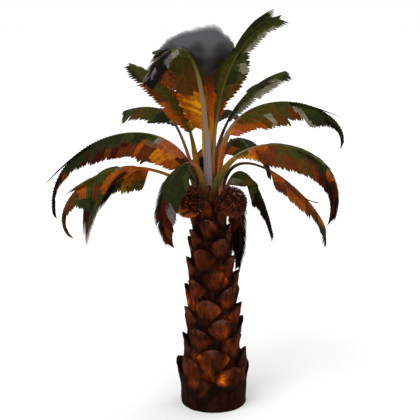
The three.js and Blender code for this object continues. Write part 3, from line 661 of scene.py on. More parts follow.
def fruit_material(look):
    """Oil palm fruit, scorched: an oily waxy husk that wrinkled in the heat, which keeps a
    soft gleam on each fruitlet's shoulder."""
    code, glow = FRUIT_FINISHES[look]
    return make_material("Oil palm fruit, scorched, " + look, (
        PLACE,
        ("wrinkles", "TexNoise", {}, {"Scale": 1000 / WRINKLE_MM, "Detail": 4},
         {"Vector": ("place", "Object")}),
        ("colour", "Mix", {"data_type": "RGBA"}, shades(linear(code), 0.45, 1.6),
         {0: ("wrinkles", 0)}),
        ("relief", "Bump", {}, {"Strength": 0.4, "Distance": 0.004}, {"Height": ("wrinkles", 0)}),
    ), {"Roughness": 0.5, "IOR": 1.46, "Specular IOR Level": 0.1},
        {"Base Color": ("colour", 2), "Normal": ("relief", 0)}, glow)


def smoke_material(name, cover):
    """Smoke, soot laden and lit from below: dull grey with no gleam, glowing amber where the
    flame in the crown's heart shines through it. A veil lets some of what is behind show."""
    return make_material(name, (
        TINT, EMBER,
        ("glow", "VectorMath", {"operation": "SCALE"}, {},
         {0: ("tint", "Color"), "Scale": ("ember", "Fac")}),
    ), {"Roughness": 1, "Specular IOR Level": 0, "Emission Strength": 0.8, "Alpha": cover},
        {"Base Color": ("tint", "Color"), "Emission Color": ("glow", 0)})


def floor_material(look):
    """Studio board, matt painted: an even pale ground with no gleam."""
    values = {"Base Color": tuple(colours().floor), "Roughness": 0.9, "Specular IOR Level": 0.1}
    return make_material("Studio board, matt painted", (), values, {})


# What the properties of one sort have in common
LENGTH = {"subtype": "DISTANCE", "unit": "LENGTH"}
SHARE = {"subtype": "FACTOR"}
COLOUR = {"subtype": "COLOR", "size": 4, "min": 0, "max": 1}


class PalmSizes(bpy.types.PropertyGroup):
    leaflet_pitch: bpy.props.FloatProperty(
        name="Leaflet spacing", description="From one leaflet to the next along a midrib",
        default=0.046, min=0.02, max=0.3, **LENGTH)
    overlap: bpy.props.FloatProperty(
        name="Leaflet overlap", description="Width of a leaflet, in steps between leaflets",
        default=1.9, min=0.3, max=3, **SHARE)
    torn: bpy.props.FloatProperty(
        name="Torn leaflets", description="Share of the bunches of leaflets that are torn short",
        default=0.12, min=0, max=1, **SHARE)
    fibre: bpy.props.FloatProperty(
        name="Bark relief", description="Depth of the fibre relief on the old leaf bases",
        default=0.009, min=0, max=0.05, **LENGTH)
    floor: bpy.props.FloatProperty(
        name="Floor", description="Side of the pale floor",
        default=400, min=10, **LENGTH)


class PalmColours(bpy.types.PropertyGroup):
    bark: bpy.props.FloatVectorProperty(
        name="Bark", description="Brown of the old leaf bases",
        default=linear("4a1e0c"), **COLOUR)
    # Partly ash and partly a painted sheen on the free tips of the leaf bases.
    bark_ash_and_sheen: bpy.props.FloatVectorProperty(
        name="Bark ash", description="Ash bloom on the free edges of the leaf bases",
        default=linear("5c3a33"), **COLOUR)
    # Painted glow: the embers' light on the bark, mixed into its base colour as this orange.
    ember: bpy.props.FloatVectorProperty(
        name="Ember", description="Scorched orange where the bark smoulders",
        default=linear("8a3a06"), **COLOUR)
    # Real char at the trunk's foot, and painted shade in the crevices, on the feet, sides and sunk
    # backs of the leaf bases and on the core between them.
    bark_char_and_shade: bpy.props.FloatVectorProperty(
        name="Bark char", description="Char in the crevices and at the foot",
        default=linear("0f0603"), **COLOUR)
    smoke: bpy.props.FloatVectorProperty(
        name="Smoke", description="Grey of the smoke's top",
        default=linear("5e5e60"), **COLOUR)
    floor: bpy.props.FloatVectorProperty(
        name="Floor", description="Pale floor",
        default=linear("e6e6e6"), **COLOUR)


def sizes():
    """The sizes that a user can change."""
    return bpy.context.scene.palm_sizes


def colours():
    """The colours that a user can change."""
    return bpy.context.scene.palm_colours


def ember_heat(point):
    """How hot the trunk is at a point: the sum of the embers near it."""
    heat = 0
    for middle, reach, strength in EMBERS:
        away = (point - Vector(middle)).length / reach
        if away < 1:
            heat += strength * (1 - away * away)
    return min(1.2, heat)


def add_core(gather):
    """The trunk between its leaf bases: fibrous, flat underneath, and black with char and painted
    shade in the crevices between them.
    """
    points, tints, heats = [], [], []
    top = CORE_PROFILE[-1][0]
    paint = colours()
    for row in range(CORE_UP + 1):
        height = top * row / CORE_UP
        for column in range(CORE_AROUND):
            way = compass(360 * column / CORE_AROUND)
            spot = axis_at(height) + way * between(CORE_PROFILE, height)
            relief = noise.noise(Vector((spot.x * 22, spot.y * 22, height * 3.5)))
            lumps = noise.noise(spot * 6)
            radius = between(CORE_PROFILE, height) - CORE_INSET
            radius += CORE_FIBRE * relief + CORE_LUMPS * lumps
            points.append(axis_at(height) + way * max(0.01, radius))
            shade = min(1, max(0, 0.3 + 0.6 * relief + 0.3 * lumps))
            # The core is mostly this dark colour: char and painted shade where it lies in the
            # crevices between the leaf bases.
            tints.append(mix_colours(paint.bark_char_and_shade, paint.bark, shade * 0.45))
            heats.append(0.6 * ember_heat(spot) * (0.7 + relief))
            # The embers' light is painted into the base colour as orange, on top of their emission.
            tints[-1] = mix_colours(tints[-1], paint.ember, min(0.8, max(0, heats[-1])))
    gather.add(points, tube_faces(CORE_UP + 1, CORE_AROUND), tint=tints, ember=heats)


def base_half_width(along):
    """Half width of a leaf base from its pointed foot to its tip."""
    if along < BASE_BROADEST:
        return lerp(0.05, 1, ((along - BASE_FOOT) / (BASE_BROADEST - BASE_FOOT)) ** 0.9)
    if along < BASE_SHOULDER:
        return lerp(1, 0.56, (along - BASE_BROADEST) / (BASE_SHOULDER - BASE_BROADEST))
    return lerp(0.56, 0.13, ((along - BASE_SHOULDER) / (BASE_TIP - BASE_SHOULDER)) ** 1.2)


def add_leaf_base(gather, bases, index, seed):
    """One old leaf base: a wedge that rises out of the trunk to a ragged free tip."""
    draw = random.Random(100 * seed + index)
    share = index / (bases.count - 1)
    height = lerp(bases.low, bases.high, share)
    radius = between(CORE_PROFILE, height)
    length = lerp(*bases.length, share) * draw.uniform(0.95, 1.06)
    half = radius * bases.half * draw.uniform(0.95, 1.06)
    lift = lerp(*bases.lift, share) * LIFT_ROUND[index % len(LIFT_ROUND)]
    heading = bases.start + GOLDEN_ANGLE * index + draw.uniform(-2.5, 2.5)
    lean = draw.uniform(-BASE_LEAN, BASE_LEAN)
    tone, sheen_bloom_share, smoulder = draw.uniform(0.7, 1.3), draw.uniform(0.4, 1), draw.random()
    foot, tip = (BASE_FOOT, BASE_UNDER), (BASE_TIP, lift)
    mid_out = (foot, (0, 0.5 * lift), tip)
    edge_out = (foot, (BASE_BROADEST, -0.01), (BASE_SHOULDER, 0.72 * lift), tip)
    paint = colours()
    fibre = sizes().fibre
    front, back, tints, heats = [], [], [], []

    def place(turn, along, out):
        at = height + along * length
        angle = heading + math.degrees(turn * half / radius)
        spot = compass(angle) * (between(CORE_PROFILE, at) + out) + axis_at(at)
        return Vector((spot.x, spot.y, max(0, spot.z)))

    for row in range(BASE_ROWS):
        along = lerp(BASE_FOOT, BASE_TIP, row / (BASE_ROWS - 1))
        for column in range(BASE_COLUMNS):
            side = lerp(-1, 1, column / (BASE_COLUMNS - 1))
            skew = lean * (1 - abs(side))
            turn = side * base_half_width(along) + skew * smoothstep(along, BASE_FOOT, 0.2)
            middle = 1 - abs(side) ** 1.15
            grooves = noise.noise(Vector((turn * 11 + seed, along * 2.5, index * 3.1)))
            lumps = noise.noise(Vector((turn * 2.6, along * 3.2 + seed, index * 5.7)))
            ragged = BASE_RAGGED * noise.noise(Vector((turn * 14, seed, index * 1.3)))
            free = smoothstep(along, 0.1, BASE_TIP)
            out = lerp(between(edge_out, along), between(mid_out, along), middle)
            out += fibre * (grooves + 1.4 * lumps) * (0.3 + 0.7 * middle)
            spot = place(turn, along + ragged * free, out)
            front.append(spot)
            back.append(place(turn * 0.6, lerp(0.15, along, 0.55), -bases.sink))
            light = (0.5 + 0.6 * grooves + 0.6 * lumps + 0.25 * middle) * tone
            tint = mix_colours(paint.bark_char_and_shade, paint.bark, min(1.25, max(0.08, light)))
            # Partly ash and partly a painted sheen on the free tip.
            sheen_bloom = free * smoothstep(lumps + 0.5 * grooves, -0.4, 0.4) * sheen_bloom_share
            tint = mix_colours(tint, paint.bark_ash_and_sheen, min(1, sheen_bloom * 0.9))
            # Painted shade: darker towards the foot and the sides of each leaf base, in the
            # crevices between them.
            painted_crevice_shade = smoothstep(along, -0.12, BASE_FOOT) + smoothstep(abs(side), 0.6, 1)
            tint = mix_colours(tint, paint.bark_char_and_shade, min(0.95, painted_crevice_shade))
            charred = 1 - smoothstep(spot.z, *CHARRED_FOOT)
            tint = mix_colours(tint, paint.bark_char_and_shade, 0.9 * charred)
            rim = smoothstep(abs(side), 0.35, 0.95) * smoothstep(along, BASE_FOOT, -0.1)
            smoulders = max(0, smoulder - 0.45) * rim * (0.6 + 1.2 * lumps) * (1 - charred)
            patchy = noise.noise(Vector((spot.x * 8, spot.y * 8, spot.z * 5)))
            patchy = smoothstep(patchy, -0.35, 0.35)
            edged = lerp(0.45, 1.05, smoothstep(abs(side), 0.1, 0.85))
            heat = ember_heat(spot) * patchy * edged * (0.8 + 0.5 * grooves) + smoulders
            heat *= 1 - 0.7 * free
            # The embers' light is painted into the base colour as orange, on top of their emission.
            tints.append(mix_colours(tint, paint.ember, min(0.85, 1.1 * heat)))
            heats.append(heat)
    count = len(front)
    faces = grid_faces(BASE_ROWS, BASE_COLUMNS)
    faces += [tuple(count + i for i in reversed(face)) for face in faces]
    edge = list(range(BASE_COLUMNS)) + [
        row * BASE_COLUMNS - 1 for row in range(2, BASE_ROWS + 1)
    ] + list(range(count - 2, count - BASE_COLUMNS - 1, -1)) + [
        row * BASE_COLUMNS for row in range(BASE_ROWS - 2, 0, -1)
    ]
    for a, b in zip(edge, edge[1:] + edge[:1]):
        faces.append((b, a, count + a, count + b))
    # Painted shade on the sunk back of each leaf base and on the walls that join it to the front.
    dark = [mix_colours(tint, paint.bark_char_and_shade, 0.85) for tint in tints]
    gather.add(front + back, faces, tint=tints + dark, ember=heats + [0.0] * count)


class PALM_OT_trunk(bpy.types.Operator):
    """Build the charred trunk with its old leaf bases"""

    bl_idname = "palm.trunk"
    bl_label = "Trunk"

    def execute(self, context):
        gather = Gather()
        add_core(gather)
        for seed, bases in ((3, STUBS), (11, SHEATHS)):
            for index in range(bases.count):
                add_leaf_base(gather, bases, index, seed)
        trunk = gather.piece("trunk_bark", bark_material, smooth_under=50)
        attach(trunk, "root")
        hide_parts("trunk")
        return {"FINISHED"}


def turned(across, above, index, steps):
    """The way from the middle of a ring to one of the steps round it."""
    angle = 2 * math.pi * index / steps
    return across * math.cos(angle) + above * math.sin(angle)


def in_bunch(way):
    """A way out of a bunch's middle, stretched to the bunch's shape."""
    return Vector((way.x * BUNCH_WIDTH, way.y * BUNCH_WIDTH, way.z * BUNCH_LENGTH))


def spiral_way(index, level):
    """The way out at a level from -1 to 1, one golden-angle step on for each index."""
    ring = math.sqrt(1 - level * level)
    return compass(GOLDEN_ANGLE * index) * ring + UP * level


def add_fruitlet(gather, at, out, up, size, look):
    """One pointed fruitlet, with its shoulder out of the bunch and a short dry tip."""
    across = out.cross(up).normalized()
    above = across.cross(out)
    rounds = [turned(across, above, i, FRUITLET_SIDES) for i in range(FRUITLET_SIDES)]
    points = [
        at + out * (along * size) + around * (wide * size)
        for along, wide in FRUITLET_PROFILE for around in rounds
    ]
    gather.add(points, tube_faces(len(FRUITLET_PROFILE), FRUITLET_SIDES), look)


class PALM_OT_fruit(bpy.types.Operator):
    """Build the scorched fruit bunches"""

    bl_idname = "palm.fruit"
    bl_label = "Fruit bunches"

    def execute(self, context):
        for number, bunch in enumerate(BUNCHES):
            draw = random.Random(500 + number)
            outward = compass(bunch.heading)
            middle = axis_at(TRUNK_TOP)
            middle.z = bunch.height
            middle += outward * bunch.reach
            tilt = math.radians(bunch.tilt)
            lengthwise = outward * math.cos(tilt) - UP * math.sin(tilt)
            turn = UP.rotation_difference(lengthwise)
            gather = Gather()
            self.add_heart(gather, middle, turn)
            self.add_fruitlets(gather, bunch, middle, turn, draw)
            self.add_stalk(gather, middle, outward)
            self.add_bracts(gather, middle, turn, draw)
            made = gather.piece(bunch.name + "_fruitlets", fruit_material, 40)
            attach(made, "root")
            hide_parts(bunch.name)
        return {"FINISHED"}

    def add_heart(self, gather, middle, turn):
        """The bunch's fibrous heart, which still glows between the fruitlets."""
        points, rows, around = [], 14, 20
        for row in range(rows):
            polar = math.pi * (row + 0.5) / rows
            for i in range(around):
                way = compass(360 * i / around) * math.sin(polar) + UP * math.cos(polar)
                points.append(middle + turn @ (in_bunch(way) * HEART_SIZE))
        faces = [tuple(reversed(face)) for face in tube_faces(rows, around)]
        gather.add(points, faces, "heart")

    def add_fruitlets(self, gather, bunch, middle, turn, draw):
        upper, body, lower = bunch.looks
        for i in range(FRUITLETS):
            local = spiral_way(i, 1 - 2 * (i + 0.5) / FRUITLETS)
            local += Vector([draw.uniform(-0.05, 0.05) for _ in range(3)])
            local.normalize()
            at = middle + turn @ in_bunch(local) * HEART_SIZE
            # Further right counts as higher, so the right bunch's ash-grey top is partly ash and
            # partly a painted sheen on its top and right side.
            high = (at.z - middle.z + 0.4 * (at.x - middle.x)) / (BUNCH_LENGTH / 2)
            high += draw.uniform(-0.3, 0.3)
            look = upper if high > UPPER_FROM else lower if high < LOWER_FROM else body
            if draw.random() < 0.3:
                look = draw.choice(("husk dark", "husk red"))
            lean = Vector([draw.uniform(-0.2, 0.2) for _ in range(3)])
            out = (turn @ local - UP * 0.15 + lean).normalized()
            add_fruitlet(gather, at, out, turn @ UP, draw.uniform(*FRUITLET_SIZE), look)

    def add_stalk(self, gather, middle, outward):
        """The short stout stalk that holds a bunch to the trunk."""
        aside = UP.cross(outward)
        points, rows, around = [], 8, 12
        for row in range(rows):
            at = middle - outward * lerp(0.3, 0.06, row / (rows - 1)) - UP * 0.04
            for i in range(around):
                ridge = 1 + 0.12 * math.cos(8 * math.pi * i / around + row)
                points.append(at + turned(aside, UP, i, around) * (STALK_RADIUS * ridge))
        gather.add(points, tube_faces(rows, around), "bract")

    def add_bracts(self, gather, middle, turn, draw):
        """Dry pointed bracts that clasp the stalk's end of the bunch."""
        faces = [(2, 0, 4, 3), (1, 2, 3, 5), (0, 6, 3, 4), (6, 1, 5, 3), (0, 2, 1, 6)]
        for i in range(BRACTS):
            out = spiral_way(i, 0.93 - 0.028 * i)
            root = middle + turn @ Vector((out.x * 0.17, out.y * 0.17, out.z * 0.19))
            tip = middle + turn @ Vector((out.x * 0.27, out.y * 0.27, out.z * 0.2 - 0.05))
            across = (tip - root).cross(turn @ UP).normalized() * draw.uniform(0.018, 0.028)
            above = (tip - root).cross(across).normalized() * 0.004
            half_way = root.lerp(tip, 0.5)
            points = [root - across, root + across, root + above, tip + above * 0.5,
                      half_way - across * 0.9, half_way + across * 0.9, root - above]
            gather.add(points, faces, "bract")


class Midrib:
    """The curve that a frond is built on, with the ways across and above it."""

    def __init__(self, frond):
        self.frond = frond
        seat_heading, seat_radius, seat_height = frond.seat
        turn = math.radians(seat_heading - frond.heading)
        self.outward = compass(frond.heading)
        self.aside = UP.cross(self.outward)
        seat_reach, seat_aside = seat_radius * math.cos(turn), seat_radius * math.sin(turn)
        launch, arrive = [
            (math.cos(math.radians(angle)) * reach, math.sin(math.radians(angle)) * reach)
            for angle, reach in (frond.launch, frond.arrive)
        ]
        self.corners = (
            self.place(seat_reach, seat_height, seat_aside),
            self.place(seat_reach + launch[0], seat_height + launch[1], seat_aside * SEAT_SWING),
            self.place(frond.tip[0] - arrive[0], frond.tip[1] - arrive[1], 0),
            self.place(frond.tip[0], frond.tip[1], 0),
        )
        steps = [self.point(i / RIB_STEPS) for i in range(RIB_STEPS + 1)]
        self.runs = [0]
        for a, b in zip(steps, steps[1:]):
            self.runs.append(self.runs[-1] + (b - a).length)
        self.length = self.runs[-1]

    def run_at(self, share):
        """The length of the midrib up to a share of its curve."""
        index = min(RIB_STEPS - 1, int(share * RIB_STEPS))
        return lerp(self.runs[index], self.runs[index + 1], share * RIB_STEPS - index)

    def share_at(self, run):
        """The share of the curve where the midrib has a length."""
        index = min(RIB_STEPS - 1, max(0, bisect_left(self.runs, run) - 1))
        low, high = self.runs[index], self.runs[index + 1]
        return (index + (run - low) / (high - low)) / RIB_STEPS

    def place(self, reach, height, sideways):
        return Vector((LEAN, 0, height)) + self.outward * reach + self.aside * sideways

    def point(self, share):
        a, b, c, d = self.corners
        rest = 1 - share
        return (a * rest ** 3 + b * (3 * rest * rest * share) + c * (3 * rest * share * share)
                + d * share ** 3)

    def frame(self, share):
        """A point of the midrib, with the ways forward, across the blade and up out of it."""
        a, b, c, d = self.corners
        rest = 1 - share
        forward = (b - a) * rest * rest + (c - b) * (2 * rest * share) + (d - c) * share * share
        forward.normalize()
        across = (self.aside - forward * self.aside.dot(forward)).normalized()
        roll = math.radians(self.frond.roll) * smoothstep(share, ROLL_FROM, ROLL_TO)
        across = Quaternion(forward, roll) @ across
        return self.point(share), forward, across, forward.cross(across)

    def half_and_depth(self, share):
        """Half width and depth of stalk and midrib."""
        inner = self.frond.seat[1] < INNER_SEAT
        slim = lerp(INNER_SLIM, 1, min(1, share / INNER_UNTIL)) if inner else 1
        away = min(1, abs(share - STOUTEST) / STOUT_WITHIN)
        half = between(RIB_WIDTH, share) * lerp(self.frond.stalk, 1, away) * slim
        deep = lerp(1 + STOUT_DEPTH * (self.frond.stalk - 1), 1, away)
        return half, between(RIB_WIDTH, share, 2) * deep * slim


class PALM_OT_ribs(bpy.types.Operator):
    """Build the stalk and midrib of each frond, with the spines on the stalk's edges"""

    bl_idname = "palm.ribs"
    bl_label = "Stalks and midribs"

    def execute(self, context):
        for number, frond in enumerate(FRONDS):
            midrib = Midrib(frond)
            gather = Gather()
            self.add_rib(gather, midrib, number)
            self.add_spines(gather, midrib, random.Random(700 + number))
            made = gather.piece("frond_" + frond.name + "_rib", petiole_material, 45)
            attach(made, "root")
        return {"FINISHED"}

    def add_rib(self, gather, midrib, number):
        points, tints, grains = [], [], []
        looks = midrib.frond.rib_looks
        for row in range(RIB_RINGS):
            share = (row / (RIB_RINGS - 1)) ** 1.15
            at, forward, across, above = midrib.frame(share)
            half, depth = midrib.half_and_depth(share)
            half *= 1 + RIB_FLARE * max(0, 1 - share / FLARE_UNTIL) ** 1.5
            if row == 0:
                at = at - forward * RIB_ROOT
            for index, (side, lift) in enumerate(RIB_SECTION):
                knots = 1 + RIB_KNOTS * noise.noise(Vector((index * 1.7, share * 14, number)))
                points.append(at + across * (side * half * knots) + above * (lift * depth * knots))
                drift = noise.noise(Vector((index * 0.9, share * 9, number + 5)))
                tints.append(self.colour(looks, share + RIB_COLOUR_DRIFT * drift))
                grains.append((side * half + lift * depth, share * midrib.length, number * 1.0))
        gather.add(points, tube_faces(RIB_RINGS, len(RIB_SECTION)), tint=tints, grain=grains)

    def colour(self, looks, share):
        share = min(1, max(0, share))
        for (low, first), (high, second) in zip(looks, looks[1:]):
            if share <= high:
                mix = smoothstep(share, low, high)
                return mix_colours(linear(RIB_COLOURS[first]), linear(RIB_COLOURS[second]), mix)
        return linear(RIB_COLOURS[looks[-1][1]])

    def add_spines(self, gather, midrib, draw):
        """Short spines along both edges of the stalk, where there is no blade yet."""
        count = int(midrib.frond.blade * midrib.length / SPINE_PITCH)
        for index in range(SPINE_FIRST, count):
            share = midrib.frond.blade * index / count
            at, forward, across, above = midrib.frame(share)
            half, depth = midrib.half_and_depth(share)
            for side in (1, -1):
                root = at + across * (side * half * 0.96) + above * (depth * 0.18)
                way = (across * side + forward * 0.5 + above * draw.uniform(-0.2, 0.4)).normalized()
                long = SPINE_LENGTH * draw.uniform(0.5, 1)
                points = [root - forward * 0.006, root + forward * 0.006, root + above * 0.006,
                          root + way * long]
                faces = [(0, 1, 3), (1, 2, 3), (2, 0, 3), (0, 2, 1)]
                if side < 0:
                    faces = [tuple(reversed(face)) for face in faces]
                tint = linear(RIB_COLOURS["umber"])
                gather.add(points, faces, tint=[tint] * 4, grain=[(0.0, 0.0, 0.0)] * 4)


def add_strip(gather, path, width_way, half_widths, finishes, seed):
    """A thin closed strip with a ridge along it, as a leaflet has, through the path's points."""
    points, grains = [], []
    run = 0
    for index, (at, half) in enumerate(zip(path, half_widths)):
        before, after = path[max(0, index - 1)], path[min(len(path) - 1, index + 1)]
        forward = (after - before).normalized()
        across = (width_way - forward * width_way.dot(forward)).normalized()
        above = across.cross(forward)
        if index:
            run += (at - path[index - 1]).length
        ridge = above * (half * LEAFLET_RIDGE)
        thin = above * (LEAFLET_THICKNESS * (0.4 + 0.6 * half / max(half_widths)))
        points += [at + across * half, at + ridge + thin, at - across * half, at + ridge - thin]
        grains += [(half, run, seed), (0.0, run, seed), (-half, run, seed), (0.0, run, seed)]
    faces, looks = [], []
    for row in range(len(path) - 1):
        low = row * 4
        for i in range(4):
            following = (i + 1) % 4
            faces.append((low + i, low + following, low + 4 + following, low + 4 + i))
            looks.append(finishes[row])
    last = (len(path) - 1) * 4
    faces += [(3, 2, 1, 0), (last, last + 1, last + 2, last + 3)]
    looks += [finishes[0], finishes[-1]]
    gather.add(points, faces, looks, grain=grains)


class PALM_OT_leaflets(bpy.types.Operator):
    """Build the leaflets of each frond, scorched and torn as the fire left them, with the fire's
    light painted on near the heart
    """

    bl_idname = "palm.leaflets"
    bl_label = "Leaflets"

    def execute(self, context):
        self.read_neighbours()
        for number, frond in enumerate(FRONDS):
            midrib = Midrib(frond)
            gather = Gather()
            draw = random.Random(900 + number)
            for side, (spread, fold), stops in (
                (1, frond.left, frond.left_looks), (-1, frond.right, frond.right_looks),
            ):
                self.add_side(gather, midrib, side, spread, fold, stops, draw)
            for streamer in frond.streamers:
                self.add_streamer(gather, midrib, streamer, draw)
            name = "frond_" + frond.name
            made = gather.piece(name + "_leaflets", leaf_material)
            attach(made, "root")
            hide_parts(name, name + "_end")
        return {"FINISHED"}

    def read_neighbours(self):
        """The frame's solids, so that a leaflet that would touch another frond is burned back."""
        points, faces, self.owners = [], [], []
        for name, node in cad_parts.items():
            first = len(points)
            points += [vertex.co.copy() for vertex in node.data.vertices]
            for polygon in node.data.polygons:
                faces.append([first + i for i in polygon.vertices])
                self.owners.append(name)
        self.tree = BVHTree.FromPolygons(points, faces)

    def room(self, own, path):
        """How much of the path is clear of everything but the frond's own nodes."""
        for index, at in enumerate(path[2:], 2):
            for hit in self.tree.find_nearest_range(at, LEAFLET_CLEARANCE):
                if not self.owners[hit[2]].startswith(own):
                    return index / (len(path) - 1)
        return 1

    def looks_at(self, stops, share):
        """The look near the midrib and the one at the edge."""
        chosen = stops[0]
        for stop in stops:
            if share >= stop[0]:
                chosen = stop
        return chosen[1], chosen[-1]

    def spring(self, place, side, angle, hang, half_rib, depth):
        """Where a leaflet springs from the midrib, its way, and the way across the blade."""
        at, forward, across, above = place
        lateral = across * (side * math.cos(hang)) - above * math.sin(hang)
        root = at + across * (side * half_rib * ROOT_OUT) + above * (depth * ROOT_UP)
        return root, lateral * math.sin(angle) + forward * math.cos(angle), lateral

    def half_widths(self, path, next_path, way, plain, length, last_of_bundle):
        """Half widths that close the gap to the next leaflet, where it isn't too wide."""
        pointed = smoothstep(length, LONG_LEAFLET, SHORT_LEAFLET)
        widths = []
        for (along, wide), spot, next_spot in zip(LEAFLET_WIDTH, path, next_path):
            gap = next_spot - spot
            gap = (gap - way * gap.dot(way)).length
            half = min(WIDEST * plain, max(plain, 0.5 * gap * sizes().overlap))
            if last_of_bundle:
                half *= LAST_OF_BUNDLE
            wide *= lerp(1, 1 - 0.6 * along ** 1.5, pointed)
            widths.append(max(NARROWEST_LEAFLET, half * wide))
        return widths

    def add_side(self, gather, midrib, side, spread, fold, stops, draw):
        frond = midrib.frond
        first, last = midrib.run_at(frond.blade), midrib.run_at(BLADE_END)
        count = round((last - first) / sizes().leaflet_pitch)
        pitch = (last - first) / count
        left_in_bundle = 0
        for index in range(count):
            start = midrib.share_at(first + pitch * (index + 0.5))
            share = (start - frond.blade) / (BLADE_END - frond.blade)
            if left_in_bundle == 0:
                left_in_bundle = draw.randint(*BUNDLE_OF)
                bundle = Bundle(
                    draw.uniform(0.9, 1.02), draw.uniform(-2, 2), draw.uniform(-2.5, 2.5),
                    draw.uniform(-0.02, 0.02),
                )
                if draw.random() < sizes().torn:
                    bundle = bundle._replace(length=bundle.length * draw.uniform(*TORN_LENGTH))
            left_in_bundle -= 1
            length = spread * self.outline(share, frond.outline) * bundle.length
            length *= draw.uniform(0.96, 1.02) * self.burned_back(frond, side, share)
            angle = lerp(*LEAFLET_ANGLES, share) + bundle.angle + draw.uniform(-1, 1)
            angle = math.radians(angle)
            hang = math.radians(fold + bundle.fold + draw.uniform(-0.8, 0.8))
            place = midrib.frame(start)
            leaning = (side, angle, hang, *midrib.half_and_depth(start))
            root, way, lateral = self.spring(place, *leaning)
            sag = LEAFLET_SAG * draw.uniform(0.9, 1.15)
            path = self.path(root, way, sag, length)
            clear = self.room("frond_" + frond.name, path)
            if clear < 1:
                length *= clear * 0.9
                path = self.path(root, way, sag, length)
            if length < SHORTEST_LEAFLET:
                continue
            following = midrib.share_at(min(last, first + pitch * (index + 1.5)))
            next_root, next_way, _ = self.spring(midrib.frame(following), *leaning)
            next_path = self.path(next_root, next_way, sag, length)
            plain = 0.5 * pitch * math.sin(angle) * sizes().overlap
            widths = self.half_widths(path, next_path, way, plain, length, left_in_bundle == 0)
            face = place[1].cross(lateral) * side
            tilt = math.radians(LEAFLET_TILT)
            width_way = way.cross(face).normalized() * math.cos(tilt)
            width_way += face * (math.sin(tilt) * side)
            shift = bundle.shift + draw.uniform(-0.01, 0.01)
            finishes = self.finishes(stops, share + shift, path, draw)
            add_strip(gather, path, width_way, widths, finishes, float(index))

    def path(self, root, way, sag, length):
        """The middle of a leaflet, sagging towards its tip."""
        spots = []
        for along, _ in LEAFLET_WIDTH:
            out = length * along
            spots.append(root + way * out - UP * (sag * out * along))
        return spots

    def finishes(self, stops, share, path, draw):
        """The finish of each stretch of a leaflet, from the midrib to its tip. Where one
        finish gives way to the next drifts with the place, so patches run across leaflets."""
        chosen = []
        for (low, _), (high, _), spot in zip(LEAFLET_WIDTH, LEAFLET_WIDTH[1:], path):
            inner, outer = self.looks_at(stops, share + 0.06 * noise.noise(spot * 2.3))
            depth = (low + high) / 2 + 0.35 * noise.noise(spot * 4.1) - 0.45
            if abs(depth) > 0.1 or inner == outer:
                chosen.append(inner if depth < 0 else outer)
            else:
                chosen.append(f"{inner} {0.33 if depth < 0 else 0.67} {outer}")
        if outer not in ("ash", "pale", "blaze") and draw.random() < 0.2:
            chosen[-1] = draw.choice(("char", "maroon"))
        return chosen

    def outline(self, share, shape):
        """A leaflet's length by its place along the blade, as a share of the greatest."""
        full, begin, finish, least = shape
        shoulder = smoothstep(share, full - LEAFLET_SHOULDER, full)
        closing = lerp(1, min(1, 0.5 / least), smoothstep(share, 0.85, 1))
        return shoulder * closing * lerp(1, least, smoothstep(share, begin, finish))

    def burned_back(self, frond, side, share):
        """What fire left of a leaflet's length, as a share."""
        rows = BURNED_BACK.get((frond.name, side))
        return between(rows, share) if rows else 1

    def add_streamer(self, gather, midrib, streamer, draw):
        """A long torn strip of leaflets that have stayed together, down to its own tip."""
        start, place, width = streamer
        at, forward, across, above = midrib.frame(start)
        tip = midrib.place(*place)
        bend = at + forward * ((tip - at).length * STREAMER_BEND)
        share = (start - midrib.frond.blade) / (BLADE_END - midrib.frond.blade)
        strands = max(3, round(width / STRAND_PITCH))
        steps = STREAMER_STEPS
        half = 0.5 * width / strands * STRAND_OVERLAP
        widths = [half * max(0.08, min(1, 3.5 * (1 - i / steps))) for i in range(steps + 1)]
        for index in range(strands):
            offset = lerp(-0.5, 0.5, (index + 0.5) / strands)
            reach = 1 - 0.28 * abs(offset) * draw.uniform(0.6, 1.4)
            path = []
            for i in range(steps + 1):
                along = reach * i / steps
                spot = at * (1 - along) ** 2 + bend * (2 * along * (1 - along)) + tip * along ** 2
                spread = math.sin(math.pi * lerp(0.2, 0.87, along)) * width * 0.86
                path.append(spot + across * (offset * spread) + above * (0.004 * (index % 2)))
            stops = midrib.frond.left_looks if offset > 0 else midrib.frond.right_looks
            inner, _ = self.looks_at(stops, share)
            _, outer = self.looks_at(stops, min(1, share + 0.35))
            change = draw.randint(4, 6)
            finishes = [inner if i < change else outer for i in range(steps)]
            add_strip(gather, path, across, widths, finishes, float(index))


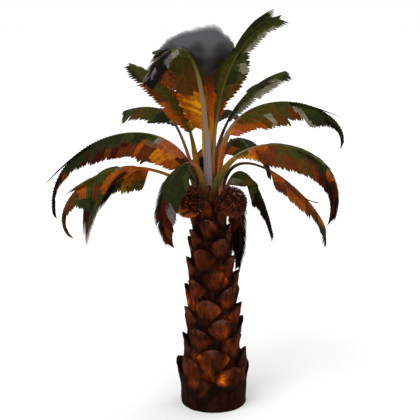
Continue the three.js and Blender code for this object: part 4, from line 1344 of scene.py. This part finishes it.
class PALM_OT_smoke(bpy.types.Operator):
    """Build the smoke that rises out of the crown's heart, and the glow at its foot"""

    bl_idname = "palm.smoke"
    bl_label = "Smoke"

    def execute(self, context):
        for name, size, cover, foot in SMOKE_SHELLS:
            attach(self.shell(name, size, cover, foot), "root")
        return {"FINISHED"}

    def shell(self, name, size, cover, foot):
        points, tints, heats = [], [], []
        for row in range(SMOKE_UP):
            height = lerp(foot, SMOKE_OUTLINE[-1][0], 1 - (1 - row / (SMOKE_UP - 1)) ** 1.3)
            aside = between(SMOKE_OUTLINE, height)
            radius = between(SMOKE_OUTLINE, height, 2) * size
            leaning = smoothstep(height, SMOKE_LEANS_FROM, SMOKE_PARTS_FROM)
            back = 0.02 + SMOKE_BACK * leaning * (height - SMOKE_LEANS_FROM)
            lift = max(0, height - SMOKE_PARTS_FROM) * (size - 0.95)
            for column in range(SMOKE_AROUND):
                way = compass(360 * column / SMOKE_AROUND)
                spot = Vector((aside, back, height + lift))
                spot += Vector((way.x, way.y * 0.85, 0)) * radius
                billow = noise.fractal(spot * 3.2, 0.9, 2.1, 3)
                spot += way * (SMOKE_BILLOW * radius * billow)
                spot.z += 0.05 * billow * smoothstep(height, 4.4, 5.2)
                points.append(spot)
                tint, heat = self.colour(height, spot)
                tints.append(tint)
                heats.append(heat)
        gather = Gather()
        gather.add(points, tube_faces(SMOKE_UP, SMOKE_AROUND), tint=tints, ember=heats)
        label = "Smoke, soot laden, dense" if cover == 1 else f"Smoke, drifting veil, {cover}"
        return gather.piece(name, lambda look: smoke_material(label, cover), 180)

    def colour(self, height, spot):
        """The smoke's colour and glow at a height, with wisps of one drawn into the next."""
        height += 0.22 * noise.noise(Vector((spot.x * 5, spot.y * 5, spot.z * 1.6)))
        heat = 0.4 * smoothstep(height, *SMOKE_LIT)
        low = SMOKE_COLOURS[0]
        for high in SMOKE_COLOURS:
            if height <= high[0]:
                share = (height - low[0]) / (high[0] - low[0]) if high != low else 0
                return mix_colours(linear(low[1]), linear(high[1]), share), heat
            low = high
        return tuple(colours().smoke), heat


class PALM_OT_stage(bpy.types.Operator):
    """Set up the pale floor, the soft light and the camera at the photo's angle"""

    bl_idname = "palm.stage"
    bl_label = "Stage"

    def execute(self, context):
        scene = context.scene
        half = sizes().floor / 2
        gather = Gather()
        corners = [
            Vector((x * half, y * half, -FLOOR_UNDER))
            for x, y in ((-1, -1), (1, -1), (1, 1), (-1, 1))
        ]
        gather.add(corners, [(0, 1, 2, 3)])
        gather.piece("floor", floor_material)

        world = bpy.data.worlds.new("Studio")
        world.use_nodes = True
        world.node_tree.nodes.clear()
        tree = world.node_tree
        even = {"Color": (1, 1, 1, 1), "Strength": 1.0}
        sky = add_node(tree, "ShaderNodeBackground", values=even)
        add_node(tree, "ShaderNodeOutputWorld", links={"Surface": sky.outputs[0]})
        scene.world = world
        scene.view_settings.view_transform = "Standard"

        for name, way, strength in STUDIO_LIGHTS:
            light = bpy.data.lights.new(name, "SUN")
            light.angle = math.radians(LIGHT_SOFTNESS)
            light.energy = strength
            made = bpy.data.objects.new(name, light)
            made.location = Vector(way) * 10
            made.rotation_euler = (-Vector(way)).to_track_quat("-Z", "Y").to_euler()
            scene.collection.objects.link(made)

        camera = bpy.data.objects.new("camera", bpy.data.cameras.new("camera"))
        camera.data.lens = CAMERA_LENS
        camera.data.clip_end = 1000
        camera.location = CAMERA_PLACE
        camera.rotation_euler = (math.radians(CAMERA_PITCH), 0, 0)
        scene.collection.objects.link(camera)
        scene.camera = camera
        return {"FINISHED"}


class PALM_PT_panel(bpy.types.Panel):
    """The palm's sizes, colours and pieces"""

    bl_label = "Burned palm"
    bl_idname = "PALM_PT_panel"
    bl_space_type = "VIEW_3D"
    bl_region_type = "UI"
    bl_category = "Burned palm"

    def draw(self, context):
        for group in (context.scene.palm_sizes, context.scene.palm_colours):
            for name in group.__annotations__:
                self.layout.prop(group, name)
        for operator in OPERATORS:
            self.layout.operator(operator.bl_idname)


OPERATORS = (
    PALM_OT_stage, PALM_OT_trunk, PALM_OT_fruit, PALM_OT_ribs, PALM_OT_leaflets, PALM_OT_smoke,
)
CLASSES = (PalmSizes, PalmColours) + OPERATORS + (PALM_PT_panel,)


def register():
    for one in CLASSES:
        bpy.utils.register_class(one)
    bpy.types.Scene.palm_sizes = bpy.props.PointerProperty(type=PalmSizes)
    bpy.types.Scene.palm_colours = bpy.props.PointerProperty(type=PalmColours)


def unregister():
    del bpy.types.Scene.palm_colours
    del bpy.types.Scene.palm_sizes
    for one in reversed(CLASSES):
        bpy.utils.unregister_class(one)


def main():
    register()
    bpy.ops.palm.stage()
    bpy.ops.palm.trunk()
    bpy.ops.palm.fruit()
    bpy.ops.palm.ribs()
    bpy.ops.palm.leaflets()
    bpy.ops.palm.smoke()
    bpy.context.view_layer.update()


if __name__ == "__main__":
    main()
